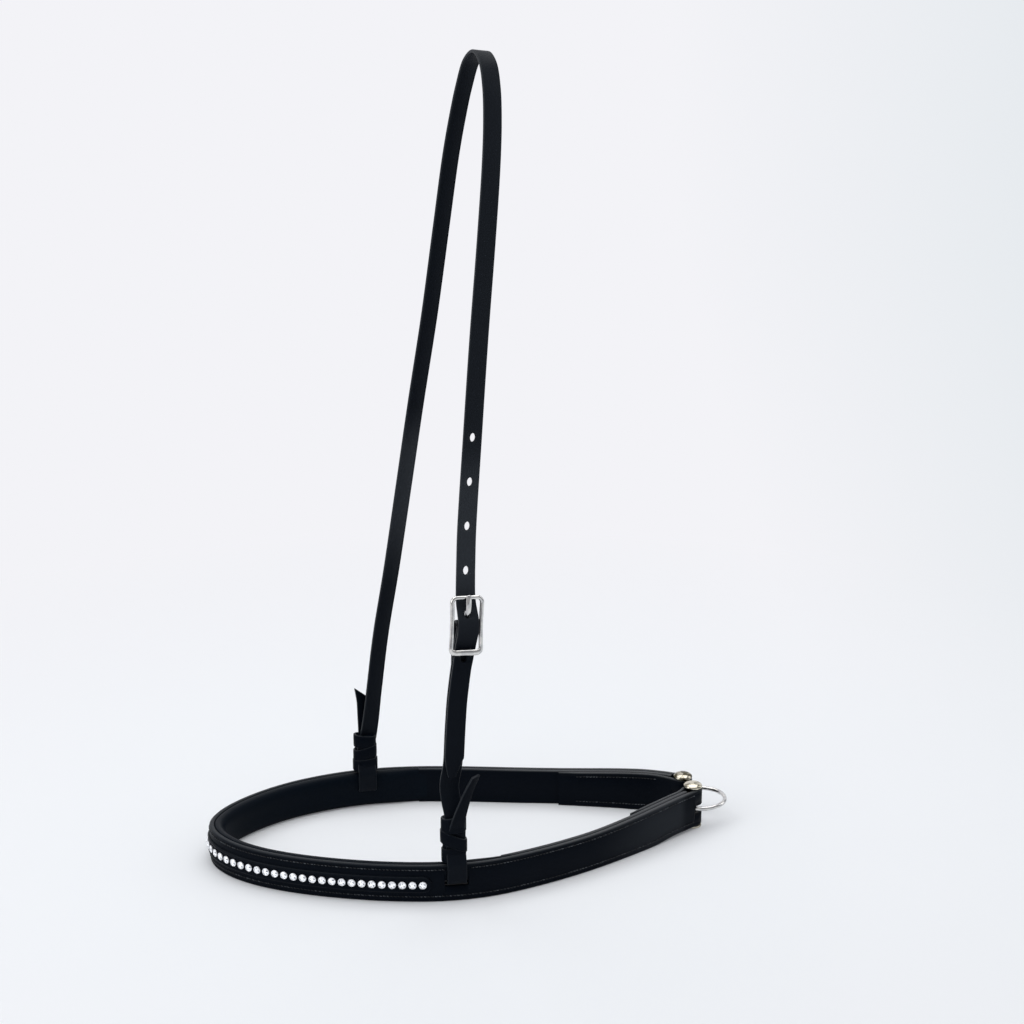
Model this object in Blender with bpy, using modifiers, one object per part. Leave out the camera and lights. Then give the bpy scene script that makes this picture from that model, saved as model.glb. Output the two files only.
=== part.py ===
"""Padded noseband with a crystal row, on its hanging strap.

The band lies on its lower edge as a closed loop: nose at -X, rear ring at +X, near side at -Y.
The hanging strap passes through a slot on each side, is braided back into itself above the slot
and runs up over the poll. A centre bar buckle on the near side joins its two lengths.
Metres, +Z up, origin at the middle of the footprint.
"""
import math

import bmesh
import bpy
from mathutils import Matrix, Vector

# Band: leather straps standing on edge
BAND_HEIGHT = 0.0254
MID_HEIGHT = BAND_HEIGHT / 2
END_HEIGHT = 0.0290
RISE_START = 0.070
RISE_END = 0.158
STRAP_THICK = 0.0034
GAP = 0.0003
BACKING_THICK = 0.0036
BACKING_END = 0.0085
RETURN_THICK = 0.0026
SKIVED_THICK = 0.0012
SKIVE_LENGTH = 0.014
EDGE_ROUND = 0.0008
RETURN_LENGTH = {"near": 0.060, "far": 0.092}

# Padded front
LINING_THICK = 0.0012
PADDED_DEPTH = 0.0102
PAD_END_FROM_SLOT = {"near": 0.0385, "far": 0.0450}
PAD_INSET = 0.0036
RIM_DROP = 0.0042

# Raised channel and its crystals
CHANNEL_WIDTH = 0.0112
CHANNEL_THICK = 0.0013
CHANNEL_END_FROM_SLOT = 0.0165
CHANNEL_END_ROUND = 0.006
CRYSTAL_WIDTH = 0.0053
CRYSTAL_TABLE = 0.62
CRYSTAL_HEIGHT = 0.0019
CRYSTAL_PITCH = 0.0066
CRYSTAL_END_FROM_SLOT = 0.0216
CHAIN_WIDTH = 0.0012
CHAIN_THICK = 0.0005

# Slots for the hanging strap
SLOT_LENGTH = 0.0144
SLOT_BOTTOM = {"near": 0.0107, "far": 0.0085}
SLOT_TOP = 0.0153
SLOT_X = {"near": -0.0189, "far": -0.0602}

# Rear bolts and ring
BOLT = {"near": Vector((0.1605, 0.0015, 0)), "far": Vector((0.1578, 0.0185, 0))}
BOLT_RADIUS = 0.0026
FOLD_RADIUS = 0.0066
FOLD_LIFT = 0.0019
LIFT_START = 0.124
LIFT_END = 0.145
HEAD_RADIUS = 0.0066
HEAD_CROWN = 0.0033
HEAD_EDGE = 0.0009
FOOT_HEIGHT = 0.0016
BOLT_ROUND = 0.0004
RING_CENTRE = Vector((0.1689, 0.0115, END_HEIGHT / 2))
RING_RADIUS = 0.0174
RING_WIRE = 0.0015
NOTCH_HEIGHT = 0.0062
NOTCH_RADIUS = RING_RADIUS + 0.0024

# Hanging strap
HANGER_WIDTH = 0.0127
HANGER_THICK = 0.0022
CHEEK_THICK = 0.0019
HANGER_ROUND = 0.0005
RUN_CLEARANCE = 0.0008
SLOT_RUN_HEIGHT = 0.0133
HOLE_PITCH = 0.0279
HOLE_WIDTH = 0.0042
HOLE_HEIGHT = 0.0056
TONGUE_HOLE_HEIGHT = 0.0084
TONGUE_HOLE_RISE = 0.0065
PUNCH_DEPTH = 0.016
POINT_LENGTH = 0.013

# Braided ties above the slots
TIE_WIDTH = 0.0148
TIE_DEPTH = 0.0074
TIE_SHIFT = {"near": -0.0012, "far": 0.0012}
TIE_SLOPE = 0.25
TURN_THICK = 0.0018
TURN_HEIGHT = 0.0066
TURN_PROUD = 0.0003
TIE_CORNERS = 14
TIE_TURNS = {"near": (0.0326, 0.0413, 0.0498, 0.0575), "far": (0.0326, 0.0404, 0.0482)}

# Buckle on the near leg
BAR_HEIGHT = 0.1819
BAR_OFFSET = 0.0002
BAR_RADIUS = 0.0012
FRAME_HALF_WIDTH = 0.0101
FRAME_HALF_LENGTH = 0.0179
FRAME_CORNER = 0.0034
FRAME_WAIST = 0.0004
FRAME_WIRE = 0.0014
FRAME_STAND = 0.0032
TONGUE_RADIUS = 0.00105

UPRIGHT = Vector((0, 0, 1))

# The loop as it lies, moved so that its box is centred on the origin
CENTRE = Vector((0.0048, -0.0009, 0))

# Outer face of the band in plan, from the near bolt round the nose to the far bolt
BAND_PLAN = (
    (0.1638, -0.0042), (0.1490, -0.0138), (0.1117, -0.0366), (0.0739, -0.0565), (0.0386, -0.0708), (0.0050, -0.0801),
    (-0.0270, -0.0817), (-0.0600, -0.0762), (-0.0950, -0.0652), (-0.1250, -0.0517),
    (-0.1480, -0.0368), (-0.1640, -0.0205), (-0.1726, -0.0040), (-0.1740, 0.0120),
    (-0.1668, 0.0285), (-0.1515, 0.0455), (-0.1260, 0.0632), (-0.0970, 0.0749), (-0.0640, 0.0812),
    (-0.0300, 0.0805), (0.0050, 0.0748), (0.0460, 0.0654), (0.0890, 0.0555), (0.1309, 0.0415),
    (0.1470, 0.0332), (0.1611, 0.0242),
)

# Middle of the hanging strap above the near tie, over the poll and down to the far tie
NEAR_LEG = (
    (-0.0187, -0.0745, 0.088), (-0.0158, -0.0697, 0.130), (-0.0132, -0.0671, 0.150),
    (-0.0109, -0.0653, 0.163), (-0.0098, -0.0627, 0.1815), (-0.0088, -0.0596, 0.199),
    (-0.0064, -0.0515, 0.240), (-0.0009, -0.0426, 0.300), (0.0048, -0.0341, 0.360),
    (0.0108, -0.0273, 0.420), (0.0149, -0.0216, 0.465),
)
POLL_ARCH = (
    (0.0166, -0.0164, 0.490), (0.0172, -0.0095, 0.510), (0.0165, 0.0004, 0.5245),
    (0.0140, 0.0125, 0.5303), (0.0102, 0.0250, 0.5245), (0.0067, 0.0346, 0.508),
    (0.0034, 0.0392, 0.490),
)
FAR_LEG = (
    (-0.0007, 0.0430, 0.465), (-0.0068, 0.0464, 0.420), (-0.0150, 0.0500, 0.360),
    (-0.0242, 0.0552, 0.300), (-0.0328, 0.0608, 0.240), (-0.0413, 0.0677, 0.180),
    (-0.0493, 0.0724, 0.130), (-0.0547, 0.0762, 0.085), (-0.0570, 0.0772, 0.066),
    (-0.0588, 0.0780, 0.054),
)

# Turn of the strap's width about +Z at a height, in degrees
NEAR_TURN = ((0.013, 0), (0.060, 3), (0.130, 10), (0.200, 14), (0.300, 16), (0.420, 19), (0.531, 22))
FAR_TURN = ((0.013, 3), (0.045, 14), (0.080, 27), (0.531, 28))


def start_scene():
    for item in list(bpy.data.objects):
        bpy.data.objects.remove(item, do_unlink=True)
    collections = []
    for name in ("Noseband", "Noseband cutters"):
        collection = bpy.data.collections.new(name)
        bpy.context.scene.collection.children.link(collection)
        collections.append(collection)
    return collections


PARTS, CUTTERS = start_scene()


def principled(name, colour, roughness, metallic=0.0):
    material = bpy.data.materials.new(name)
    material.use_nodes = True
    shader = material.node_tree.nodes["Principled BSDF"]
    shader.inputs["Base Color"].default_value = (*colour, 1)
    shader.inputs["Roughness"].default_value = roughness
    shader.inputs["Metallic"].default_value = metallic
    return material


STRAP_LEATHER = principled("Black bridle leather", (0.013, 0.015, 0.019), 0.38)
SOFT_LEATHER = principled("Soft black lining leather", (0.020, 0.022, 0.026), 0.55)
FOAM = principled("Felt filler", (0.10, 0.10, 0.10), 0.95)
NICKEL = principled("Nickel plated steel", (0.72, 0.71, 0.69), 0.14, 1.0)
PALE_BRASS = principled("Pale brass bolt", (0.78, 0.73, 0.60), 0.16, 1.0)
CRYSTAL = principled("Foiled crystal", (0.88, 0.90, 0.94), 0.06, 0.4)


def smooth_line(points):
    """Close points along a centripetal Catmull-Rom curve through the given ones."""
    known = [Vector(point) for point in points]
    known = [2 * known[0] - known[1], *known, 2 * known[-1] - known[-2]]
    steps = 16

    def mix(first, second, start, end, knot):
        return first + (second - first) * ((knot - start) / (end - start))

    line = []
    for a, b, c, d in zip(known, known[1:], known[2:], known[3:]):
        knots = [0.0]
        for start, end in ((a, b), (b, c), (c, d)):
            knots.append(knots[-1] + math.sqrt((end - start).length))
        ka, kb, kc, kd = knots
        for count in range(steps):
            knot = kb + (kc - kb) * count / steps
            ab, bc, cd = mix(a, b, ka, kb, knot), mix(b, c, kb, kc, knot), mix(c, d, kc, kd, knot)
            line.append(mix(mix(ab, bc, ka, kc, knot), mix(bc, cd, kb, kd, knot), kb, kc, knot))
    line.append(known[-2])
    return line


def lengths_along(line):
    """Distance from the first point to each point."""
    total = [0.0]
    for a, b in zip(line, line[1:]):
        total.append(total[-1] + (b - a).length)
    return total


def thinned(line, turn, longest):
    """The points a strap needs: one at each turn of direction, or after longest(point) of straight."""
    kept = [line[0]]
    heading = (line[1] - line[0]).normalized()
    for point, following in zip(line[1:], line[2:]):
        ahead = (following - point).normalized()
        if ahead.angle(heading) > turn or (point - kept[-1]).length > longest(point):
            kept.append(point)
            heading = ahead
    if (line[-1] - kept[-1]).length < 0.0004:
        kept.pop()
    kept.append(line[-1])
    return kept


def between(table, key):
    """Value of a table of (key, value) pairs at a key, straight between the pairs."""
    if key <= table[0][0]:
        return table[0][1]
    for (low, first), (high, second) in zip(table, table[1:]):
        if key <= high:
            return first + (second - first) * (key - low) / (high - low)
    return table[-1][1]


def eased(x, start, end):
    """0 before start, 1 after end, smooth between."""
    share = min(1.0, max(0.0, (x - start) / (end - start)))
    return share * share * (3 - 2 * share)


def band_top(x):
    """Height of the band's upper edge: level, then rising over the last stretch to the bolts."""
    return BAND_HEIGHT + (END_HEIGHT - BAND_HEIGHT) * eased(x, RISE_START, RISE_END)


def band_foot(x):
    """Height of the band's lower edge: on the ground, then lifted by the feet of the bolts."""
    return FOLD_LIFT * eased(x, LIFT_START, LIFT_END)


class Band:
    """The outer face of the band in plan, read by distance from the near bolt's end."""

    def __init__(self):
        self.line = smooth_line([(x, y, 0) for x, y in BAND_PLAN])
        self.marks = lengths_along(self.line)
        self.length = self.marks[-1]
        self.bends = self.bend_marks(math.radians(6.5), 0.0115)

    def bend_marks(self, turn, longest):
        """Distances at which every layer of the band has a crease, so that the layers nest."""
        found = [0.0]
        heading = (self.line[1] - self.line[0]).normalized()
        for index in range(1, len(self.line) - 1):
            ahead = (self.line[index + 1] - self.line[index]).normalized()
            if ahead.angle(heading) > turn or self.marks[index] - found[-1] > longest:
                found.append(self.marks[index])
                heading = ahead
        return found

    def stations(self, start, end, apart=0.0035):
        """The creases between two distances, with the two ends."""
        inner = [mark for mark in self.bends if start + apart < mark < end - apart]
        return [start, *inner, end]

    def at(self, distance):
        """Point on the outer face, and the unit vectors along the band and into the loop."""
        index = 0
        while index < len(self.marks) - 2 and self.marks[index + 1] < distance:
            index += 1
        start, end = self.line[index], self.line[index + 1]
        share = (distance - self.marks[index]) / (self.marks[index + 1] - self.marks[index])
        before = self.line[max(index - 1, 0)]
        after = self.line[min(index + 2, len(self.line) - 1)]
        ahead = (after - before).normalized()
        return start.lerp(end, share), ahead, Vector((ahead.y, -ahead.x, 0))

    def place(self, distance, depth, height):
        point, _, inward = self.at(distance)
        spot = point + inward * depth
        foot = band_foot(spot.x)
        return spot + UPRIGHT * (foot + (band_top(spot.x) - foot) * height / BAND_HEIGHT)

    def distance_at(self, side, x):
        """Distance along the band to a place on the near or the far side."""
        wanted = -1 if side == "near" else 1
        steps = list(zip(self.line, self.marks))
        for (start, mark), (end, following) in zip(steps, steps[1:]):
            if start.y * wanted > 0 and min(start.x, end.x) <= x <= max(start.x, end.x):
                return mark + (following - mark) * (x - start.x) / (end.x - start.x)
        raise ValueError(f"no place on the {side} side at {x}")


BAND = Band()
SLOT = {side: BAND.distance_at(side, x) for side, x in SLOT_X.items()}


def new_object(name, mesh, material=None):
    item = bpy.data.objects.new(name, mesh)
    PARTS.objects.link(item)
    if material:
        item.data.materials.append(material)
    return item


def sheet(name, shape, columns, rows, thickness, material, rounding=0.0, weight=None):
    """A flat grid bent onto shape(u, v), made solid, with its edges rounded."""
    mesh = bpy.data.meshes.new(name)
    grid = bmesh.new()
    bmesh.ops.create_grid(grid, x_segments=columns, y_segments=rows, size=1)
    shares = []
    for corner in grid.verts:
        u, v = (corner.co.x + 1) / 2, (corner.co.y + 1) / 2
        shares.append(u)
        corner.co = shape(u, v)
    bmesh.ops.recalc_face_normals(grid, faces=grid.faces)
    grid.to_mesh(mesh)
    grid.free()
    item = new_object(name, mesh, material)
    solid = item.modifiers.new("Thickness", "SOLIDIFY")
    solid.thickness = thickness
    solid.offset = 0
    solid.use_even_offset = True
    if weight:
        group = item.vertex_groups.new(name="Thickness")
        for index, u in enumerate(shares):
            group.add([index], weight(u), "REPLACE")
        solid.vertex_group = group.name
    if rounding:
        bevel = item.modifiers.new("Rounded edges", "BEVEL")
        bevel.width = rounding
        bevel.segments = 1
        bevel.limit_method = "ANGLE"
        bevel.angle_limit = math.radians(50)
    mesh.shade_smooth()
    return item


def as_cutter(item):
    for collection in list(item.users_collection):
        collection.objects.unlink(item)
    CUTTERS.objects.link(item)
    item.hide_render = True
    item.display_type = "WIRE"
    return item


def boolean(item, tool, operation):
    change = item.modifiers.new(f"{operation.title()} {tool.name}", "BOOLEAN")
    change.operation = operation
    change.object = tool
    change.solver = "EXACT"


def primitive(add, name, material=None, **settings):
    add(**settings)
    item = bpy.context.active_object
    item.name = name
    item.data.name = name
    for collection in list(item.users_collection):
        collection.objects.unlink(item)
    PARTS.objects.link(item)
    if material:
        item.data.materials.append(material)
    return item


def box_cutter(name, centre, axes, size):
    """A box along three given unit vectors."""
    item = primitive(bpy.ops.mesh.primitive_cube_add, name, size=1)
    turn = Matrix(axes).transposed()
    for corner in item.data.vertices:
        corner.co = turn @ Vector([a * b for a, b in zip(corner.co, size)])
    item.location = centre
    return as_cutter(item)


def turned(name, profile, centre, material, steps=24):
    """A profile of (radius, height) points turned about the vertical through centre."""
    mesh = bpy.data.meshes.new(name)
    outline = bmesh.new()
    corners = [outline.verts.new((radius, 0, height)) for radius, height in profile]
    for a, b in zip(corners, corners[1:]):
        outline.edges.new((a, b))
    outline.to_mesh(mesh)
    outline.free()
    item = new_object(name, mesh, material)
    item.location = centre
    screw = item.modifiers.new("Turned", "SCREW")
    screw.steps = steps
    screw.render_steps = steps
    screw.use_merge_vertices = True
    screw.merge_threshold = 0.00001
    mesh.shade_smooth()
    return item


def wire(name, points, radius, material, cyclic=False):
    """A round wire along the points, as a welded mesh."""
    curve = bpy.data.curves.new(name, "CURVE")
    curve.dimensions = "3D"
    spline = curve.splines.new("POLY")
    spline.points.add(len(points) - 1)
    for slot, point in zip(spline.points, points):
        slot.co = (*point, 1)
    spline.use_cyclic_u = cyclic
    curve.bevel_depth = radius
    curve.bevel_resolution = 2
    curve.use_fill_caps = not cyclic
    guide = bpy.data.objects.new(f"{name} line", curve)
    PARTS.objects.link(guide)
    evaluated = guide.evaluated_get(bpy.context.evaluated_depsgraph_get())
    mesh = bpy.data.meshes.new_from_object(evaluated)
    bpy.data.objects.remove(guide, do_unlink=True)
    mesh.name = name
    welded = bmesh.new()
    welded.from_mesh(mesh)
    bmesh.ops.remove_doubles(welded, verts=welded.verts, dist=0.00001)
    bmesh.ops.recalc_face_normals(welded, faces=welded.faces)
    welded.to_mesh(mesh)
    welded.free()
    mesh.materials.clear()
    mesh.shade_smooth()
    return new_object(name, mesh, material)


def slot_cutter(side):
    point, _, inward = BAND.at(SLOT[side])
    middle = (SLOT_TOP + SLOT_BOTTOM[side]) / 2
    centre = point + inward * PADDED_DEPTH / 2 + UPRIGHT * middle
    size = (SLOT_LENGTH, 0.030, SLOT_TOP - SLOT_BOTTOM[side])
    return box_cutter(f"{side} slot", centre, (inward.cross(UPRIGHT), inward, UPRIGHT), size)


def return_line(side):
    """Middle line of the strap's end: back from the fold along the inside, outermost point last."""
    centre = BOLT[side]
    distance = 0.0 if side == "near" else BAND.length
    _, ahead, inward = BAND.at(distance)
    backwards = -ahead if side == "near" else ahead
    radius = FOLD_RADIUS - STRAP_THICK / 2
    points = []
    for angle in range(0, 181, 15):
        turn = math.radians(angle)
        points.append(centre - inward * radius * math.cos(turn) + backwards * radius * math.sin(turn))
    depth = STRAP_THICK + BACKING_THICK + 2 * GAP + RETURN_THICK / 2
    for share in (0.20, 0.32, 0.48, 0.66, 0.84, 1.0):
        reach = share * RETURN_LENGTH[side]
        spot = BAND.place(reach if side == "near" else BAND.length - reach, depth, 0)
        points.append(Vector((spot.x, spot.y, 0)))
    return thinned(smooth_line(points), math.radians(17), lambda point: 0.0120)


def strap_line():
    """The whole strap in plan: near return and fold, outer run, far fold and return."""
    clear = 0.004
    outer = []
    for mark in BAND.stations(clear, BAND.length - clear):
        point, _, inward = BAND.at(mark)
        outer.append(point + inward * STRAP_THICK / 2)
    return return_line("near")[::-1] + outer + return_line("far")


def noseband_strap():
    line = strap_line()
    marks = lengths_along(line)
    total = marks[-1]

    def thickness(distance_from_end, reach):
        """Skived at the very end, then the return's thickness, full from the fold on."""
        skived = SKIVED_THICK / STRAP_THICK
        returned = RETURN_THICK / STRAP_THICK
        steps = ((0, skived), (SKIVE_LENGTH, returned), (reach - 0.012, returned), (reach, 1.0))
        return between(steps, distance_from_end)

    def weight(u):
        distance = marks[round(u * (len(line) - 1))]
        near = thickness(distance, RETURN_LENGTH["near"])
        return min(near, thickness(total - distance, RETURN_LENGTH["far"]))

    def shape(u, v):
        point = line[round(u * (len(line) - 1))]
        foot = band_foot(point.x)
        return Vector((point.x, point.y, foot + (band_top(point.x) - foot) * v))

    item = sheet("noseband_strap", shape, len(line) - 1, 1, STRAP_THICK, STRAP_LEATHER,
                 rounding=EDGE_ROUND * 0.7, weight=weight)
    for side in SLOT:
        boolean(item, slot_cutter(side), "DIFFERENCE")
    notch = primitive(bpy.ops.mesh.primitive_cylinder_add, "ring notch", vertices=36,
                      radius=NOTCH_RADIUS, depth=NOTCH_HEIGHT, location=RING_CENTRE)
    boolean(item, as_cutter(notch), "DIFFERENCE")
    return item


def band_sheet(name, start, end, profile, thickness, material, rounding):
    """A strip of the band between two distances, its section given as (depth, height) points."""
    marks = BAND.stations(start, end)

    def shape(u, v):
        depth, height = profile[round(v * (len(profile) - 1))]
        return BAND.place(marks[round(u * (len(marks) - 1))], depth, height)

    return sheet(name, shape, len(marks) - 1, len(profile) - 1, thickness, material, rounding=rounding)


def padded_front():
    """Thin leather shaped round a felt pad on the inside of the strap."""
    start = SLOT["near"] - PAD_END_FROM_SLOT["near"]
    end = SLOT["far"] + PAD_END_FROM_SLOT["far"]
    inner = PADDED_DEPTH - LINING_THICK / 2
    rim = BAND_HEIGHT - LINING_THICK / 2
    upper = ((0.0042, rim - 0.0003), (0.0078, rim - 0.0006), (inner, rim - RIM_DROP))
    lower = tuple((depth, BAND_HEIGHT - height) for depth, height in reversed(upper))
    band_sheet("noseband_lining", start, end, upper + lower, LINING_THICK, SOFT_LEATHER, 0.0)
    first, last = STRAP_THICK + GAP, PADDED_DEPTH - LINING_THICK - 2 * GAP
    middle = (first + last) / 2
    band_sheet("noseband_pad", start + 0.003, end - 0.003,
               ((middle, PAD_INSET), (middle, BAND_HEIGHT - PAD_INSET)), last - first, FOAM, 0.0013)
    for side in SLOT:
        for name in ("noseband_lining", "noseband_pad"):
            boolean(bpy.data.objects[name], bpy.data.objects[f"{side} slot"], "DIFFERENCE")


def rear_backings():
    """The second layer of leather behind the pad, ending short of each bolt."""
    pad_gap = 2 * GAP
    spans = {
        "near": (BACKING_END, SLOT["near"] - PAD_END_FROM_SLOT["near"] - pad_gap),
        "far": (SLOT["far"] + PAD_END_FROM_SLOT["far"] + pad_gap, BAND.length - BACKING_END),
    }
    depth = STRAP_THICK + GAP + BACKING_THICK / 2
    for side, (start, end) in spans.items():
        band_sheet(f"{side}_backing", start, end, ((depth, 0), (depth, BAND_HEIGHT)),
                   BACKING_THICK, STRAP_LEATHER, EDGE_ROUND)


def raised_channel():
    """A narrow strip on the outer face, round ended, that carries the crystals."""
    start = SLOT["near"] + CHANNEL_END_FROM_SLOT
    end = SLOT["far"] - CHANNEL_END_FROM_SLOT
    depth = -GAP - CHANNEL_THICK / 2
    near_ends = [start, start + 0.0012, start + 0.0030]
    far_ends = [end - 0.0030, end - 0.0012, end]
    middle = BAND.stations(start + CHANNEL_END_ROUND, end - CHANNEL_END_ROUND)
    marks = near_ends + middle + far_ends

    def shape(u, v):
        distance = marks[round(u * (len(marks) - 1))]
        left = 1 - min(distance - start, end - distance, CHANNEL_END_ROUND) / CHANNEL_END_ROUND
        half = CHANNEL_WIDTH / 2 * (0.4 + 0.6 * math.sqrt(max(0.0, 1 - left * left)))
        return BAND.place(distance, depth, MID_HEIGHT + half * (2 * v - 1))

    sheet("raised_channel", shape, len(marks) - 1, 1, CHANNEL_THICK, STRAP_LEATHER, rounding=0.0005)


def crystal_chain():
    """Foiled stones in cups on one strip, set along the middle of the channel."""
    start = SLOT["near"] + CRYSTAL_END_FROM_SLOT
    end = SLOT["far"] - CRYSTAL_END_FROM_SLOT
    spaces = round((end - start) / CRYSTAL_PITCH)
    seat = -2 * GAP - CHANNEL_THICK
    depth = seat - CHAIN_THICK / 2
    strip = band_sheet("crystal_chain", start, end,
                       ((depth, MID_HEIGHT - CHAIN_WIDTH / 2), (depth, MID_HEIGHT + CHAIN_WIDTH / 2)),
                       CHAIN_THICK, CRYSTAL, 0.0)
    stones = bmesh.new()
    for index in range(spaces + 1):
        point, ahead, inward = BAND.at(start + (end - start) * index / spaces)
        frame = Matrix((ahead, UPRIGHT, -inward)).transposed().to_4x4()
        middle = point + inward * (seat - CRYSTAL_HEIGHT / 2) + UPRIGHT * MID_HEIGHT
        bmesh.ops.create_cone(stones, cap_ends=True, segments=8, radius1=CRYSTAL_WIDTH / 2,
                              radius2=CRYSTAL_WIDTH / 2 * CRYSTAL_TABLE, depth=CRYSTAL_HEIGHT,
                              matrix=Matrix.Translation(middle) @ frame)
    bmesh.ops.recalc_face_normals(stones, faces=stones.faces)
    mesh = bpy.data.meshes.new("stones")
    stones.to_mesh(mesh)
    stones.free()
    boolean(strip, as_cutter(new_object("stones", mesh)), "UNION")


def rear_hardware():
    """A domed bolt and its flat foot through each fold, and the ring held behind the bolts."""
    under = END_HEIGHT + GAP
    rod_end = FOOT_HEIGHT + GAP
    dome = []
    steps = 4
    for step in range(steps + 1):
        angle = math.pi / 2 * step / steps
        height = under + HEAD_EDGE + (HEAD_CROWN - HEAD_EDGE) * math.cos(angle)
        dome.append((HEAD_RADIUS * math.sin(angle), height))
    rim = HEAD_RADIUS - BOLT_ROUND
    bolt = dome + [(HEAD_RADIUS, under + BOLT_ROUND), (rim, under), (BOLT_RADIUS, under),
                   (BOLT_RADIUS, rod_end), (0, rod_end)]
    foot = [(0, FOOT_HEIGHT), (rim, FOOT_HEIGHT), (HEAD_RADIUS, FOOT_HEIGHT - BOLT_ROUND),
            (HEAD_RADIUS, BOLT_ROUND), (rim, 0), (0, 0)]
    for side, centre in BOLT.items():
        turned(f"{side}_bolt", bolt, centre, PALE_BRASS)
        turned(f"{side}_bolt_foot", foot, centre, PALE_BRASS)
    ring = primitive(bpy.ops.mesh.primitive_torus_add, "rear_ring", NICKEL, location=RING_CENTRE,
                     major_radius=RING_RADIUS, minor_radius=RING_WIRE, major_segments=36,
                     minor_segments=8)
    ring.data.shade_smooth()


def square_to(across, ahead):
    return (across - ahead * across.dot(ahead)).normalized()


def leg_across(line, table, point):
    """Direction of the strap's width on a leg, square to the leg at the point's height."""
    index = min(range(1, len(line) - 1), key=lambda i: abs(line[i].z - point.z))
    ahead = (line[index + 1] - line[index - 1]).normalized()
    free = min(1.0, max(0.0, (point.z - 0.050) / 0.030))
    ahead = UPRIGHT.lerp(ahead if ahead.z > 0 else -ahead, free).normalized()
    turn = math.radians(between(table, point.z))
    return square_to(Vector((math.cos(turn), math.sin(turn), 0)), ahead)


NEAR_LINE = smooth_line(NEAR_LEG)
FAR_LINE = smooth_line(FAR_LEG)


def near_across(point):
    return leg_across(NEAR_LINE, NEAR_TURN, point)


def crown_across(point):
    share = min(1.0, max(0.0, (point.y - 0.002) / 0.022))
    return near_across(point).lerp(leg_across(FAR_LINE, FAR_TURN, point), share).normalized()


def strap_frame(line, index, across_at):
    """Unit vectors along a hanging strap, across it and out of its face."""
    before, after = line[max(index - 1, 0)], line[min(index + 1, len(line) - 1)]
    ahead = (after - before).normalized()
    across = square_to(across_at(line[index]), ahead)
    return ahead, across, ahead.cross(across)


def strap_spacing(point):
    """How far apart a hanging strap's points may be: close together where it is woven through the buckle."""
    return 0.006 if abs(point.z - BAR_HEIGHT) < 0.032 else 0.026


def hanging_sheet(name, line, across_at, width, thickness, narrowing=None):
    """A strap along a line in space; narrowing(share) gives its (left, right) half widths."""
    marks = lengths_along(line)

    def shape(u, v):
        index = round(u * (len(line) - 1))
        _, across, _ = strap_frame(line, index, across_at)
        left, right = (width / 2, width / 2) if not narrowing else narrowing(marks[index], marks[-1])
        return line[index] + across * (right * v - left * (1 - v))

    return sheet(name, shape, len(line) - 1, 1, thickness, STRAP_LEATHER, rounding=HANGER_ROUND)


def slot_run(side, top):
    """Middle line of a strap end from the tie, down the outside, through the slot and up inside."""
    outside = -RUN_CLEARANCE - HANGER_THICK / 2
    inside = PADDED_DEPTH + RUN_CLEARANCE + HANGER_THICK / 2
    middle = (outside + inside) / 2
    layer = HANGER_THICK / 2 + 0.0002
    half = (
        (middle - layer, top), (middle - layer, 0.0400), (middle - layer - 0.0006, 0.0355),
        (middle - 0.0045, 0.0308), (outside, 0.0262), (outside, 0.0205), (outside, 0.0160),
        (outside + 0.0006, 0.0141), (outside + 0.0023, SLOT_RUN_HEIGHT), (middle, SLOT_RUN_HEIGHT),
    )
    whole = half + tuple((2 * middle - depth, height) for depth, height in reversed(half[:-1]))
    point, _, inward = BAND.at(SLOT[side])
    return [point + inward * depth + UPRIGHT * height for depth, height in whole]


def on_near_leg(height, offset=0.0):
    """Point on the near leg at a height, moved out of its face."""
    index = min(range(1, len(NEAR_LINE) - 1), key=lambda i: abs(NEAR_LINE[i].z - height))
    ahead, _, inwards = strap_frame(NEAR_LINE, index, near_across)
    return NEAR_LINE[index] + ahead * (height - NEAR_LINE[index].z) / ahead.z - inwards * offset


def bar_axes():
    """Unit vectors at the buckle's bar: up the strap, across it, and out of its face."""
    index = min(range(len(NEAR_LINE)), key=lambda i: abs(NEAR_LINE[i].z - BAR_HEIGHT))
    up, across, inwards = strap_frame(NEAR_LINE, index, near_across)
    return up, across, -inwards


UP, ACROSS, OUT = bar_axes()
BAR_CENTRE = on_near_leg(BAR_HEIGHT, BAR_OFFSET)


def at_buckle(rise, out, across=0.0):
    """Point in the buckle's own axes, from its bar."""
    return BAR_CENTRE + UP * rise + OUT * out + ACROSS * across


# How far the crown strap's end stands off the leg's middle line, by its rise above the bar
BILLET_WEAVE = (
    (-0.098, 0.0013), (-0.070, 0.0004), (-0.050, 0.0001), (-0.033, 0.0002), (-0.024, -0.0001),
    (-0.0179, 0.0), (-0.0134, 0.0009), (-0.009, 0.0026), (-0.0045, 0.0045), (0.0, 0.0052),
    (0.0045, 0.0045), (0.009, 0.0026), (0.0134, 0.0008), (0.0179, 0.0), (0.024, -0.0002), (0.036, 0.0),
)


def crown_line():
    """From the far slot's run up the far leg, over the poll, down the near leg and through the buckle."""
    far = [Vector(point) for point in reversed(FAR_LEG)]
    arch = [Vector(point) for point in reversed(POLL_ARCH)]
    near = [Vector(point) for point in reversed(NEAR_LEG[6:])]
    billet = [on_near_leg(BAR_HEIGHT + rise, offset) for rise, offset in reversed(BILLET_WEAVE)]
    run = slot_run("far", TIE_TURNS["far"][-1])
    return run[:0:-1] + far + arch + near + billet


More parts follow.
